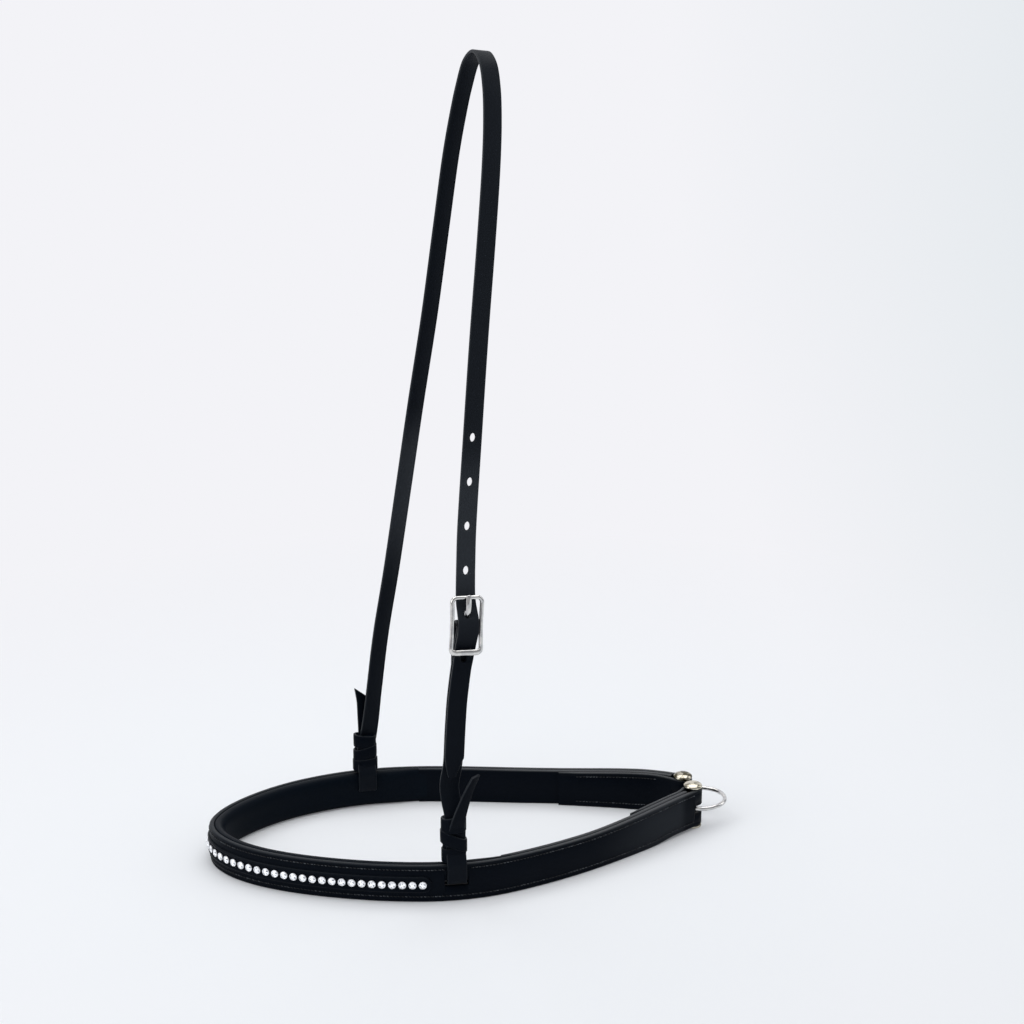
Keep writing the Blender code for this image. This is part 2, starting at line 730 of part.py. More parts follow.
def oval_corner(corner, place, half_width, half_depth, height, slope=0.0):
    """Moves a corner of a unit cylinder onto an oval round both layers of a tie."""
    point, inward, sideways = place
    angle = math.atan2(corner.co.y, corner.co.x)
    wide = half_width * math.copysign(abs(math.cos(angle)) ** 0.7, math.cos(angle))
    deep = half_depth * math.copysign(abs(math.sin(angle)) ** 0.8, math.sin(angle))
    rise = corner.co.z * height + slope * wide
    corner.co = point + sideways * wide + inward * deep + UPRIGHT * rise


def tie(item, side):
    """The braid above a slot: turns of the strap's end round both layers, every second one a little proud."""
    heights = TIE_TURNS[side]
    point, _, inward = BAND.at(SLOT[side])
    sideways = inward.cross(UPRIGHT)
    centre = point + inward * PADDED_DEPTH / 2 + sideways * TIE_SHIFT[side]
    core = primitive(bpy.ops.mesh.primitive_cylinder_add, f"{side} tie core", vertices=TIE_CORNERS,
                     radius=1, depth=1)
    middle = centre + UPRIGHT * (heights[0] + heights[-1]) / 2
    half_width, half_depth = TIE_WIDTH / 2 - TURN_THICK / 6, TIE_DEPTH / 2 - TURN_THICK / 6
    for corner in core.data.vertices:
        oval_corner(corner, (middle, inward, sideways), half_width, half_depth,
                    heights[-1] - heights[0] + TURN_HEIGHT * 0.7)
    boolean(item, as_cutter(core), "UNION")
    for count, height in enumerate(heights):
        band = primitive(bpy.ops.mesh.primitive_cylinder_add, f"{side} tie turn {count + 1}",
                         vertices=TIE_CORNERS, radius=1, depth=1, end_fill_type="NOTHING")
        slope, proud = (TIE_SLOPE, 0.0) if count % 2 == 0 else (-TIE_SLOPE, TURN_PROUD)
        for corner in band.data.vertices:
            oval_corner(corner, (centre + UPRIGHT * height, inward, sideways), TIE_WIDTH / 2 + proud,
                        TIE_DEPTH / 2 + proud, TURN_HEIGHT, slope)
        solid = band.modifiers.new("Thickness", "SOLIDIFY")
        solid.thickness = TURN_THICK
        solid.offset = 0
        solid.use_even_offset = True
        boolean(item, as_cutter(band), "UNION")


def crown_strap():
    line = thinned(smooth_line(crown_line()), math.radians(10), strap_spacing)

    def narrowing(distance, total):
        """The pointed end of the billet, one edge cut back further than the other."""
        share = min(1.0, (total - distance) / POINT_LENGTH)
        return HANGER_WIDTH / 2 * (0.50 + 0.50 * share ** 0.7), HANGER_WIDTH / 2 * (0.12 + 0.88 * share)

    item = hanging_sheet("crown_strap", line, crown_across, HANGER_WIDTH, HANGER_THICK, narrowing)
    tie(item, "far")
    boolean(item, as_cutter(far_tail()), "UNION")
    for step in range(-1, 5):
        rise = TONGUE_HOLE_RISE + step * HOLE_PITCH
        height = TONGUE_HOLE_HEIGHT if step == 0 else HOLE_HEIGHT
        punch(item, f"billet hole {step + 2}", on_near_leg(BAR_HEIGHT + rise * UP.z), height)


def punch(item, name, centre, height):
    """An oval hole through the strap on the near leg."""
    index = min(range(1, len(NEAR_LINE) - 1), key=lambda i: abs(NEAR_LINE[i].z - centre.z))
    up, across, _ = strap_frame(NEAR_LINE, index, near_across)
    hole = primitive(bpy.ops.mesh.primitive_cylinder_add, name, vertices=12, radius=1, depth=PUNCH_DEPTH)
    turn = Matrix((across, up, across.cross(up))).transposed()
    for corner in hole.data.vertices:
        local = Vector((corner.co.x * HOLE_WIDTH / 2, corner.co.y * height / 2, corner.co.z))
        corner.co = turn @ local
    hole.location = centre
    boolean(item, as_cutter(hole), "DIFFERENCE")


def loose_end(name, points, turns, widths, tip):
    """A strap end that comes out of a tie, narrows and is cut at a slant."""
    line = thinned(smooth_line(points), math.radians(12), lambda point: 0.006)
    marks = lengths_along(line)

    def shape(u, v):
        index = round(u * (len(line) - 1))
        share = marks[index] / marks[-1]
        turn = math.radians(between(((0, turns[0]), (1, turns[1])), share))
        width = between(((0, widths[0]), (1, widths[1])), share)
        level = Vector((math.cos(turn), math.sin(turn), 0))
        _, across, _ = strap_frame(line, index, lambda _point: level)
        ahead = (line[-1] - line[-2]).normalized()
        slant = tip * v if index == len(line) - 1 else 0.0
        return line[index] + across * width * (v - 0.5) + ahead * slant

    return sheet(name, shape, len(line) - 1, 1, HANGER_THICK, STRAP_LEATHER)


def far_tail():
    points = ((-0.0625, 0.0770, 0.0450), (-0.0628, 0.0795, 0.0560), (-0.0636, 0.0808, 0.0680),
              (-0.0652, 0.0815, 0.0780), (-0.0670, 0.0820, 0.0885))
    return loose_end("far tail", points, (8, 12), (0.0085, 0.0085), -0.009)


def near_tail():
    points = ((-0.0190, -0.0778, 0.0470), (-0.0175, -0.0825, 0.0570), (-0.0150, -0.0843, 0.0665),
              (-0.0113, -0.0848, 0.0752), (-0.0066, -0.0848, 0.0845))
    return loose_end("near tail", points, (6, 30), (0.0100, 0.0048), 0.003)


def cheek_strap():
    """From the back of the buckle's bar, over it, down the leg and through the near slot."""
    wrap = BAR_RADIUS + GAP + CHEEK_THICK / 2
    back = [at_buckle(rise, out) for rise, out in ((-0.0340, -0.0052), (-0.0260, -0.0055), (-0.0179, -0.0055),
                                                   (-0.0134, -0.0045), (-0.0080, -0.0028))]
    turn = [
        at_buckle(wrap * math.sin(math.radians(angle)), -wrap * math.cos(math.radians(angle)))
        for angle in range(0, 181, 20)
    ]
    front = [at_buckle(rise, out) for rise, out in ((-0.0045, 0.0017), (-0.0090, -0.0004), (-0.0134, -0.0021),
                                                    (-0.0179, -0.0031))]
    down = [on_near_leg(BAR_HEIGHT + rise, offset)
            for rise, offset in ((-0.024, -0.0030), (-0.033, -0.0027), (-0.050, -0.0027), (-0.070, -0.0026),
                                 (-0.090, -0.0026))]
    points = back + turn + front + down + slot_run("near", TIE_TURNS["near"][-1])
    line = thinned(smooth_line(points), math.radians(13), strap_spacing)
    item = hanging_sheet("cheek_strap", line, near_across, HANGER_WIDTH, CHEEK_THICK)
    tie(item, "near")
    boolean(item, as_cutter(near_tail()), "UNION")
    window = box_cutter("tongue window", at_buckle(0.0004, 0), (ACROSS, UP, ACROSS.cross(UP)),
                        (0.0034, 0.0084, 0.0090))
    boolean(item, window, "DIFFERENCE")


def buckle_frame():
    """A flat frame whose two ends stand in front of the billet, on a set back centre bar."""
    corners = []
    for angle in (0, 30, 60, 90):
        turn = math.radians(angle)
        corners.append((FRAME_HALF_WIDTH - FRAME_CORNER * (1 - math.cos(turn)),
                        FRAME_HALF_LENGTH - FRAME_CORNER * (1 - math.sin(turn))))
    waist_end = FRAME_HALF_LENGTH - FRAME_CORNER
    right = [(FRAME_HALF_WIDTH - FRAME_WAIST * (1 - (rise / waist_end) ** 2), rise) for rise in (0.0, 0.005, 0.010)]
    right += corners
    upper = right + [(-across, rise) for across, rise in reversed(right)]
    outline = upper + [(across, -rise) for across, rise in reversed(upper)][1:-1]
    points = [at_buckle(rise, FRAME_STAND, across) for across, rise in outline]
    item = wire("buckle_frame", points, FRAME_WIRE, NICKEL, cyclic=True)
    side = FRAME_HALF_WIDTH - FRAME_WAIST
    bends = ((FRAME_STAND, -side), (0, -side), (0, side), (FRAME_STAND, side))
    bar = [at_buckle(0, out, across) for out, across in bends]
    boolean(item, as_cutter(wire("centre bar", bar, BAR_RADIUS, NICKEL)), "UNION")


def buckle_tongue():
    """Hooked round the bar, up through the billet's hole, its tip over the top of the frame."""
    hook = BAR_RADIUS + GAP + TONGUE_RADIUS
    points = []
    for angle in range(-200, 45, 20):
        turn = math.radians(angle)
        points.append(at_buckle(hook * math.sin(turn), hook * math.cos(turn)))
    for rise, out in ((0.0042, 0.0028), (0.0056, 0.0038), (0.0070, 0.0049), (0.0088, 0.0057), (0.0120, 0.0061),
                      (0.0179, 0.0061), (0.0200, 0.0058)):
        points.append(at_buckle(rise, out))
    wire("buckle_tongue", points, TONGUE_RADIUS, NICKEL)


def empty(name, place, parent=None):
    item = bpy.data.objects.new(name, None)
    item.empty_display_size = 0.01
    PARTS.objects.link(item)
    item.location = place
    if parent:
        hold(item, parent)
    return item


def hold(item, parent):
    item.parent = parent
    item.matrix_parent_inverse = Matrix.Translation(-places[parent.name])


places = {}


def build():
    noseband_strap()
    padded_front()
    rear_backings()
    raised_channel()
    crystal_chain()
    rear_hardware()
    crown_strap()
    cheek_strap()
    buckle_frame()
    buckle_tongue()
    slots = [BAND.place(SLOT[side], PADDED_DEPTH / 2, SLOT_RUN_HEIGHT) for side in SLOT]
    frames = {
        "noseband": (Vector((0, 0, 0)), None, ("noseband_strap", "noseband_lining", "noseband_pad", "near_backing",
                                  "far_backing", "raised_channel", "crystal_chain")),
        "hanger": ((slots[0] + slots[1]) / 2, "noseband", ("crown_strap", "cheek_strap")),
        "frame tilt": (BAR_CENTRE, "hanger", ("buckle_frame",)),
        "tongue hinge": (BAR_CENTRE, "hanger", ("buckle_tongue",)),
        "ring hinge": ((BOLT["near"] + BOLT["far"]) / 2 + UPRIGHT * RING_CENTRE.z, "noseband",
                       ("rear_ring",)),
        "near bolt axis": (BOLT["near"], "noseband", ("near_bolt", "near_bolt_foot")),
        "far bolt axis": (BOLT["far"], "noseband", ("far_bolt", "far_bolt_foot")),
    }
    for name, (place, parent, nodes) in frames.items():
        places[name] = place
        joint = empty(name, place, bpy.data.objects[parent] if parent else None)
        for node in nodes:
            hold(bpy.data.objects[node], joint)
    for tool in CUTTERS.objects:
        hold(tool, bpy.data.objects["noseband"])
    bpy.data.objects["noseband"].location = -CENTRE


build()
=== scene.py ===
"""Dresses a padded leather noseband for its picture: leather, stitches, crystals, metal and a studio.

Laid out as a Blender add-on and run as a script. Metres, +Z up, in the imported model's frame: the nose
is at -X, the rear ring at +X and the near side, which has the buckle, at -Y.
"""

import math

import bmesh
import bpy
from bpy.props import FloatProperty, FloatVectorProperty, IntProperty, PointerProperty
from mathutils import Matrix, Vector


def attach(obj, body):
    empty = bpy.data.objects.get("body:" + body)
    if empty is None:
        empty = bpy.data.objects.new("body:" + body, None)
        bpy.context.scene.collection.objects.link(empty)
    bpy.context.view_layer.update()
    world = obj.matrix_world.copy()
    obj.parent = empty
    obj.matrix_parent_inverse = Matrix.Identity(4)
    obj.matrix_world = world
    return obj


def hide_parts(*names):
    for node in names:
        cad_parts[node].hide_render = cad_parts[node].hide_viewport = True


bl_info = {
    "name": "Noseband dresser",
    "version": (1, 0, 0),
    "blender": (4, 5, 0),
    "location": "View3D > Sidebar > Noseband",
    "description": "Builds the leather, padding, stitches, crystals and metal of a noseband round its frame",
    "category": "Object",
}

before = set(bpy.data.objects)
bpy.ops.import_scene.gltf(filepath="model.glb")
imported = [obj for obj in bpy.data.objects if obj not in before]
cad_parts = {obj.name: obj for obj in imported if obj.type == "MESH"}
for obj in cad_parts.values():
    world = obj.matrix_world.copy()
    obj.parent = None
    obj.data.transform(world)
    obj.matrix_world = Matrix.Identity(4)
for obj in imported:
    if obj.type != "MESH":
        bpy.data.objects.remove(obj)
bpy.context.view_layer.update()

UPRIGHT = Vector((0, 0, 1))

# The loop as it lies, moved so that its box is centred on the origin
CENTRE = Vector((0.0048, -0.0009, 0))

# Band: its raised rear ends, the arms' second layer, and the strap's own ends folded back inside
MID_HEIGHT = 0.0127
END_HEIGHT = 0.0290
RISE_START = 0.070
RISE_END = 0.158
STRAP_CREASE = 0.0024
STRAP_CREASE_SUNK = 0.00022
BACKING_THICK = 0.0036
BACKING_END = 0.0085
BACKING_UNDER_PAD = 0.006
RETURN_THICK = 0.0026
RETURN_BLEND = 0.012
SKIVED_THICK = 0.0012
SKIVE_LENGTH = 0.014
RETURN_LENGTH = {"near": 0.060, "far": 0.092}
FOLD_CLEARANCE = 0.003
LAYER_GAP = 0.0001

# Padding, raised channel and crystals, measured from the slots
PAD_END_FROM_SLOT = {"near": 0.0385, "far": 0.0450}
PAD_TAPER = 0.030
PAD_END_SHARE = 0.56
CHANNEL_END_FROM_SLOT = 0.0165
CRYSTAL_END_FROM_SLOT = {"near": 0.0220, "far": 0.0243}

# Slots that the hanging strap is laced through
SLOT_X = {"near": -0.0189, "far": -0.0618}
SLOT_LENGTH = 0.0156
SLOT_BOTTOM = {"near": 0.0107, "far": 0.0048}
SLOT_TOP = 0.0153
SLOT_ROUNDING = 0.0010
SLOT_MIDDLE_DEPTH = 0.005
SLOT_CUT_DEPTH = 0.030

# The foot of each tie rises towards the front, so that the hanging strap can rock over the band's edge
SWING_ROOM = 0.120
SWING_ROOM_LEAST = 0.0006
SWING_ROOM_TOP = 0.0330
SWING_ROOM_TALL = 0.0066

# Stitches
STITCH_SHARE = 0.84
STITCH_FIRST = 0.006
STITCH_FIRST_INSIDE = 0.020
STITCH_SLANT = 0.10
UNDER_STRAP = 0.0086

# Rear bolts and ring
BOLT = {"near": Vector((0.1605, 0.0015, 0)), "far": Vector((0.1578, 0.0185, 0))}
FOLD_RADIUS = 0.0066
FOLD_LIFT = 0.0019
LIFT_START = 0.124
LIFT_END = 0.145
BOLTS_MIDDLE = 0.0109
HEAD_RADIUS = 0.0066
HEAD_CROWN = 0.0036
HEAD_RIM = 0.0010
SHANK_RADIUS = 0.0026
BOLT_PLAY = 0.0002
FOOT_HEIGHT = 0.0016
RING_CENTRE = Vector((0.1689, 0.0115, END_HEIGHT / 2))
RING_RADIUS = 0.0174
NOTCH_HEIGHT = 0.0062
NOTCH_RADIUS = RING_RADIUS + 0.0024
NOTCH_DROP = 0.0001
RING_LIFT = 0.0005
RING_SLOPE = 0.035

# Hanging strap
CHEEK_THICK = 0.0019
RUN_CLEARANCE = 0.0008
SLOT_RUN_HEIGHT = 0.0133
HOLE_PITCH = 0.0279
FIRST_HOLE_RISE = 0.0065
HOLE_WIDTH = 0.0042
HOLE_HEIGHT = 0.0056
TONGUE_HOLE_HEIGHT = 0.0050
TONGUE_HOLE_RISE = 0.0073
TONGUE_HOLE_WIDTH = 0.0038
PUNCH_DEPTH = 0.016
POINT_LENGTH = 0.013
LEAN_START = 0.050
LEAN_BLEND = 0.030
POLL_START = 0.002
POLL_BLEND = 0.022

# Buckle on the near leg
BAR_HEIGHT = 0.1819
BAR_OFFSET = 0.0002
BAR_RADIUS = 0.0012
FRAME_HALF_WIDTH = 0.0101
FRAME_HALF_LENGTH = 0.0179
FRAME_CORNER = 0.0034
FRAME_WAIST = 0.0004
FRAME_WIRE = 0.0014
FRAME_STAND = 0.0032
TONGUE_RADIUS = 0.00105
BAR_GAP = 0.0003
BAR_INSET = 0.0010
BAR_BEND = 0.0012
BAR_STEP = 0.0014
BOTTOM_BLEND = 0.0035
BOTTOM_STOUTER = 0.45

# Outer face of the band in plan, from the near bolt round the nose to the far bolt
BAND_PLAN = (
    (0.1638, -0.0042), (0.1490, -0.0138), (0.1117, -0.0366), (0.0739, -0.0565), (0.0386, -0.0708),
    (0.0050, -0.0801), (-0.0270, -0.0817), (-0.0600, -0.0762), (-0.0950, -0.0652), (-0.1250, -0.0517),
    (-0.1480, -0.0368), (-0.1640, -0.0205), (-0.1726, -0.0040), (-0.1740, 0.0120),
    (-0.1668, 0.0285), (-0.1515, 0.0455), (-0.1260, 0.0632), (-0.0970, 0.0749), (-0.0640, 0.0812),
    (-0.0300, 0.0805), (0.0050, 0.0748), (0.0460, 0.0654), (0.0890, 0.0555), (0.1309, 0.0415),
    (0.1470, 0.0332), (0.1611, 0.0242),
)

# Middle of the hanging strap above the near tie, over the poll and down to the far tie
NEAR_LEG = (
    (-0.0195, -0.0745, 0.088), (-0.0160, -0.0697, 0.130), (-0.0132, -0.0671, 0.150),
    (-0.0109, -0.0653, 0.163), (-0.0098, -0.0627, 0.1815), (-0.0088, -0.0596, 0.199),
    (-0.0064, -0.0515, 0.240), (-0.0009, -0.0426, 0.300), (0.0048, -0.0341, 0.360),
    (0.0108, -0.0273, 0.420), (0.0149, -0.0216, 0.465),
)
POLL_ARCH = (
    (0.0166, -0.0164, 0.490), (0.0172, -0.0095, 0.510), (0.0165, 0.0004, 0.5245),
    (0.0140, 0.0125, 0.5303), (0.0102, 0.0250, 0.5245), (0.0067, 0.0346, 0.508),
    (0.0034, 0.0392, 0.490),
)
FAR_LEG = (
    (-0.0007, 0.0430, 0.465), (-0.0068, 0.0464, 0.420), (-0.0150, 0.0500, 0.360),
    (-0.0242, 0.0552, 0.300), (-0.0328, 0.0608, 0.240), (-0.0413, 0.0677, 0.180),
    (-0.0493, 0.0724, 0.130), (-0.0547, 0.0762, 0.085), (-0.0570, 0.0772, 0.066),
    (-0.0588, 0.0780, 0.054),
)

# Turn of the strap's width about +Z at a height, in degrees
NEAR_TURN = ((0.013, 0), (0.060, 3), (0.130, 10), (0.200, 14), (0.300, 16), (0.420, 19), (0.531, 22))
FAR_TURN = ((0.013, 3), (0.045, 14), (0.080, 27), (0.531, 28))

# How far the crown strap's end stands off the leg's middle line, by its rise above the bar
BILLET_WEAVE = (
    (-0.098, 0.0013), (-0.070, 0.0004), (-0.050, 0.0001), (-0.033, 0.0002), (-0.024, -0.0001),
    (-0.0179, 0.0), (-0.0134, 0.0009), (-0.009, 0.0026), (-0.0045, 0.0045), (0.0, 0.0052),
    (0.0045, 0.0045), (0.009, 0.0026), (0.0134, 0.0008), (0.0179, 0.0), (0.024, -0.0002), (0.036, 0.0),
)

# How much wider the crown strap's right half is where the buckle presses it, by distance from its point
BILLET_SPREAD = ((0.072, 0.0), (0.079, 0.08), (0.086, 0.18), (0.0985, 0.24), (0.112, 0.12), (0.122, 0.03),
                 (0.135, 0.0))

# Turns of each tie: height of its middle, its width, its lean across the strap, and how far it stands proud
TIE_TURNS = {
    "near": ((0.0313, 0.0108, 0.10, 0.0), (0.0410, 0.0090, -0.48, 0.0007), (0.0524, 0.0108, 0.10, 0.0002)),
    "far": ((0.0314, 0.0100, -0.05, 0.0008), (0.0406, 0.0090, -0.25, 0.0004), (0.0494, 0.0094, 0.15, 0.0)),
}
TIE_SHIFT = {"near": -0.0012, "far": 0.0004}
TIE_LEATHER = 0.0019

# Loose end of each strap out of its tie: middle line, first and last turn about +Z, widths, slant of its cut
TAILS = {
    "near": (((-0.0190, -0.0778, 0.0440), (-0.0178, -0.0825, 0.0560), (-0.0150, -0.0843, 0.0668),
              (-0.0119, -0.0848, 0.0760), (-0.0073, -0.0848, 0.0862)), (6, 30), (0.0112, 0.0048), 0.003),
    "far": (((-0.0622, 0.0770, 0.0450), (-0.0619, 0.0795, 0.0560), (-0.0621, 0.0808, 0.0680),
             (-0.0624, 0.0815, 0.0780), (-0.0639, 0.0820, 0.0885)), (8, 12), (0.0085, 0.0085), -0.009),
}

# Camera, as the photograph's fit gives it
CAMERA_PLACE = Vector((-0.1771, -1.1838, 0.5808))
CAMERA_PITCH = 16
CAMERA_HEADING = 10
CAMERA_LENS = 66.8

# Paper backdrop: half its width, front end, start and radius of its curve, top
PAPER_HALF_WIDTH = 5.0
PAPER_FRONT = -4.0
PAPER_BEND = 2.4
PAPER_RADIUS = 1.2
PAPER_TOP = 4.0


def hex_colour(code):
    """An sRGB hex colour as a linear one."""
    shares = [int(code[start:start + 2], 16) / 255 for start in (1, 3, 5)]
    return tuple(value / 12.92 if value <= 0.04045 else ((value + 0.055) / 1.055) ** 2.4 for value in shares)


def length_property(name, description, metres):
    """A property for a size in metres."""
    return FloatProperty(name=name, description=description, default=metres, unit="LENGTH")


def colour_property(name, description, code):
    """A property for a colour, given as an sRGB hex code."""
    return FloatVectorProperty(name=name, description=description, subtype="COLOR", default=hex_colour(code))


def power_property(name, description, watts):
    """A property for a light's power."""
    return FloatProperty(name=name, description=description, default=watts, unit="POWER")


class NosebandSizes(bpy.types.PropertyGroup):
    """Sizes that a maker would change, in metres"""

    band_height: length_property("Band height", "Height of the band's strap on edge", 0.0254)
    strap_thickness: length_property("Strap thickness", "Thickness of the band's outer strap", 0.0034)
    edge_radius: length_property("Edge radius", "Rounding of the band's burnished edges", 0.0011)
    padded_depth: length_property("Padded depth", "Strap, pad and lining together at the front", 0.0102)
    channel_width: length_property("Channel width", "Width of the raised strip under the crystals", 0.0112)
    channel_thickness: length_property("Channel thickness", "How far the raised strip stands out", 0.0013)
    crystal_width: length_property("Crystal width", "Diameter of a crystal's cup", 0.0052)
    crystal_pitch: length_property("Crystal pitch", "Distance from crystal to crystal", 0.0066)
    stitch_pitch: length_property("Stitch pitch", "Distance from stitch to stitch", 0.0024)
    lower_margin: length_property("Lower stitch margin", "Lower row's distance from the edge", 0.0040)
    upper_margin: length_property("Upper stitch margin", "Upper row's distance from the edge", 0.0027)
    hanger_width: length_property("Hanging strap width", "Width of the hanging strap", 0.0127)
    hanger_thickness: length_property("Hanging strap thickness", "Thickness of the hanging strap", 0.0022)
    tie_width: length_property("Tie width", "Width of the braid above each slot", 0.0143)
    tie_depth: length_property("Tie depth", "Front to back size of the braid", 0.0076)
    ring_wire: length_property("Ring wire radius", "Radius of the rear ring's wire", 0.0015)
    seed: IntProperty(name="Seed", description="Seed for the small differences between stitches", default=7)


class NosebandColours(bpy.types.PropertyGroup):
    """Colours of the finishes"""

    leather: colour_property("Leather", "Face of the black bridle leather", "#050A12")
    leather_edge: colour_property("Leather edge", "Burnished and rubbed cut edge", "#20252A")
    # Painted sheen: the lighter leather put where light falls on the band and the hanging strap
    painted_sheen: colour_property("Painted sheen", "Lighter leather painted where light falls", "#34383D")
    lining: colour_property("Lining", "Soft leather over the padding", "#060D15")
    thread: colour_property("Thread", "Waxed thread", "#12171D")
    bare_thread: colour_property("Bare thread", "Thread where the wax has rubbed off", "#44494E")
    nickel: colour_property("Nickel", "Ring and buckle", "#DAD9D6")
    brass: colour_property("Pale brass", "Bolts", "#D3CDBD")
    # Painted dark reflections in patches on the metal, more of them on the far bolt
    nickel_dark_reflection: colour_property("Nickel, painted dark reflection", "Patches where the plate is less bright", "#C4C4C4")
    brass_dark_reflection: colour_property("Brass, painted dark reflection", "Dark patches on the bolts", "#4E4933")
    crystal: colour_property("Crystal", "Foiled stones", "#F4F6FA")


class StudioSettings(bpy.types.PropertyGroup):
    """Light and ground of the picture"""

    floor: colour_property("Floor", "Colour of the pale floor", "#E9ECEF")
    # Painted shade: the backdrop's colour deepens to this towards the right
    shaded: colour_property("Shaded backdrop", "Colour that the paper falls to on the right", "#E7EBEF")
    backdrop: colour_property("Backdrop", "Colour seen behind the floor", "#F3F3F7")
    top_power: power_property("Top light", "Power of the softbox overhead", 29.0)
    side_power: power_property("Side light", "Power of the softbox on the left", 10.5)
    room: FloatProperty(name="Room light", description="Strength of the even light of the room",
                        default=0.42, min=0.0)


def lengths_along(line):
    """Distance from the first point to each point."""
    total = [0.0]
    for start, end in zip(line, line[1:]):
        total.append(total[-1] + (end - start).length)
    return total


def smooth_line(points):
    """Close points along a centripetal Catmull-Rom curve through the given ones."""
    known = [Vector(point) for point in points]
    known = [2 * known[0] - known[1], *known, 2 * known[-1] - known[-2]]
    steps = 16

    def mix(first, second, start, end, knot):
        return first + (second - first) * ((knot - start) / (end - start))

    line = []
    for a, b, c, d in zip(known, known[1:], known[2:], known[3:]):
        knots = [0.0]
        for start, end in ((a, b), (b, c), (c, d)):
            knots.append(knots[-1] + math.sqrt((end - start).length))
        ka, kb, kc, kd = knots
        for count in range(steps):
            knot = kb + (kc - kb) * count / steps
            ab, bc, cd = mix(a, b, ka, kb, knot), mix(b, c, kb, kc, knot), mix(c, d, kc, kd, knot)
            line.append(mix(mix(ab, bc, ka, kc, knot), mix(bc, cd, kb, kd, knot), kb, kc, knot))
    line.append(known[-2])
    return line


def held(share):
    return min(1.0, max(0.0, share))


def evenly(start, end, step):
    """Numbers from start to end, about one step apart."""
    count = max(2, round((end - start) / step))
    return [start + (end - start) * number / count for number in range(count + 1)]


def circle(count):
    """Cosine and sine of even turns round a circle."""
    turns = [2 * math.pi * number / count for number in range(count)]
    return [(math.cos(turn), math.sin(turn)) for turn in turns]


def resampled(line, step):
    """Evenly spaced points along a line."""
    marks = lengths_along(line)
    points = []
    index = 0
    for wanted in evenly(0.0, marks[-1], step):
        while index < len(marks) - 2 and marks[index + 1] < wanted:
            index += 1
        span = marks[index + 1] - marks[index]
        share = (wanted - marks[index]) / span if span else 0.0
        points.append(line[index].lerp(line[index + 1], held(share)))
    return points


def run_of(line, index):
    """Direction of a line at one of its points."""
    return (line[min(index + 1, len(line) - 1)] - line[max(index - 1, 0)]).normalized()


def between(table, key):
    """Value of a table of (key, value) pairs at a key, straight between the pairs."""
    if key <= table[0][0]:
        return table[0][1]
    for (low, first), (high, second) in zip(table, table[1:]):
        if key <= high:
            return first + (second - first) * (key - low) / (high - low)
    return table[-1][1]


def eased(x, start, end):
    """0 before start, 1 after end, smooth between."""
    share = held((x - start) / (end - start))
    return share * share * (3 - 2 * share)


class Band:
    """The outer face of the band in plan, read by distance from the near bolt's end."""

    height = 0.0254

    def __init__(self):
        self.line = smooth_line([Vector((x, y, 0)) for x, y in BAND_PLAN])
        self.marks = lengths_along(self.line)
        self.length = self.marks[-1]

    def at(self, distance):
        """Point on the outer face, and the unit vectors along the band and into the loop."""
        index = 0
        while index < len(self.marks) - 2 and self.marks[index + 1] < distance:
            index += 1
        start, end = self.line[index], self.line[index + 1]
        share = (distance - self.marks[index]) / (self.marks[index + 1] - self.marks[index])
        before = (end - self.line[max(index - 1, 0)]).normalized()
        after = (self.line[min(index + 2, len(self.line) - 1)] - start).normalized()
        ahead = before.lerp(after, share).normalized()
        return start.lerp(end, share), ahead, Vector((ahead.y, -ahead.x, 0))

    def top(self, x):
        return self.height + (END_HEIGHT - self.height) * eased(x, RISE_START, RISE_END)

    def foot(self, x):
        return FOLD_LIFT * eased(x, LIFT_START, LIFT_END)

    def level(self, x, height):
        """Height above the ground of a place on the band, stretched where its rear ends stand taller."""
        foot = self.foot(x)
        return foot + (self.top(x) - foot) * height / self.height

    def station(self, spot, inward):
        """Station at a place in plan, lifted and stretched where the band's rear ends stand taller."""
        foot = self.foot(spot.x)
        return spot + UPRIGHT * foot, inward, UPRIGHT * ((self.top(spot.x) - foot) / self.height)

    def distance_at(self, side, x):
        """Distance along the band to a place on the near or the far side."""
        wanted = -1 if side == "near" else 1
        steps = list(zip(self.line, self.marks))
        for (start, mark), (end, following) in zip(steps, steps[1:]):
            if start.y * wanted > 0 and min(start.x, end.x) <= x <= max(start.x, end.x):
                return mark + (following - mark) * (x - start.x) / (end.x - start.x)
        raise ValueError(f"no place on the {side} side at {x}")


BAND = Band()
SLOT = {side: BAND.distance_at(side, x) for side, x in SLOT_X.items()}


def add_node(tree, kind, settings=None, **links):
    """Adds a node, sets its attributes and its inputs by name, and links sockets given as inputs."""
    node = tree.nodes.new(kind)
    for key, value in (settings or {}).items():
        setattr(node, key, value)
    for key, value in links.items():
        name = key.replace("_", " ")
        socket = next(s for s in node.inputs if s.name.lower() == name.lower() and s.enabled)
        if isinstance(value, bpy.types.NodeSocket):
            tree.links.new(value, socket)
        else:
            socket.default_value = value
    return node


def blank_material(name, **values):
    """A material with its Principled BSDF, whose plain values sit on the shader's own sockets."""
    material = bpy.data.materials.get(name) or bpy.data.materials.new(name)
    material.use_nodes = True
    tree = material.node_tree
    tree.nodes.clear()
    output = tree.nodes.new("ShaderNodeOutputMaterial")
    shader = add_node(tree, "ShaderNodeBsdfPrincipled", None, **values)
    tree.links.new(shader.outputs["BSDF"], output.inputs["Surface"])
    return material, tree, shader


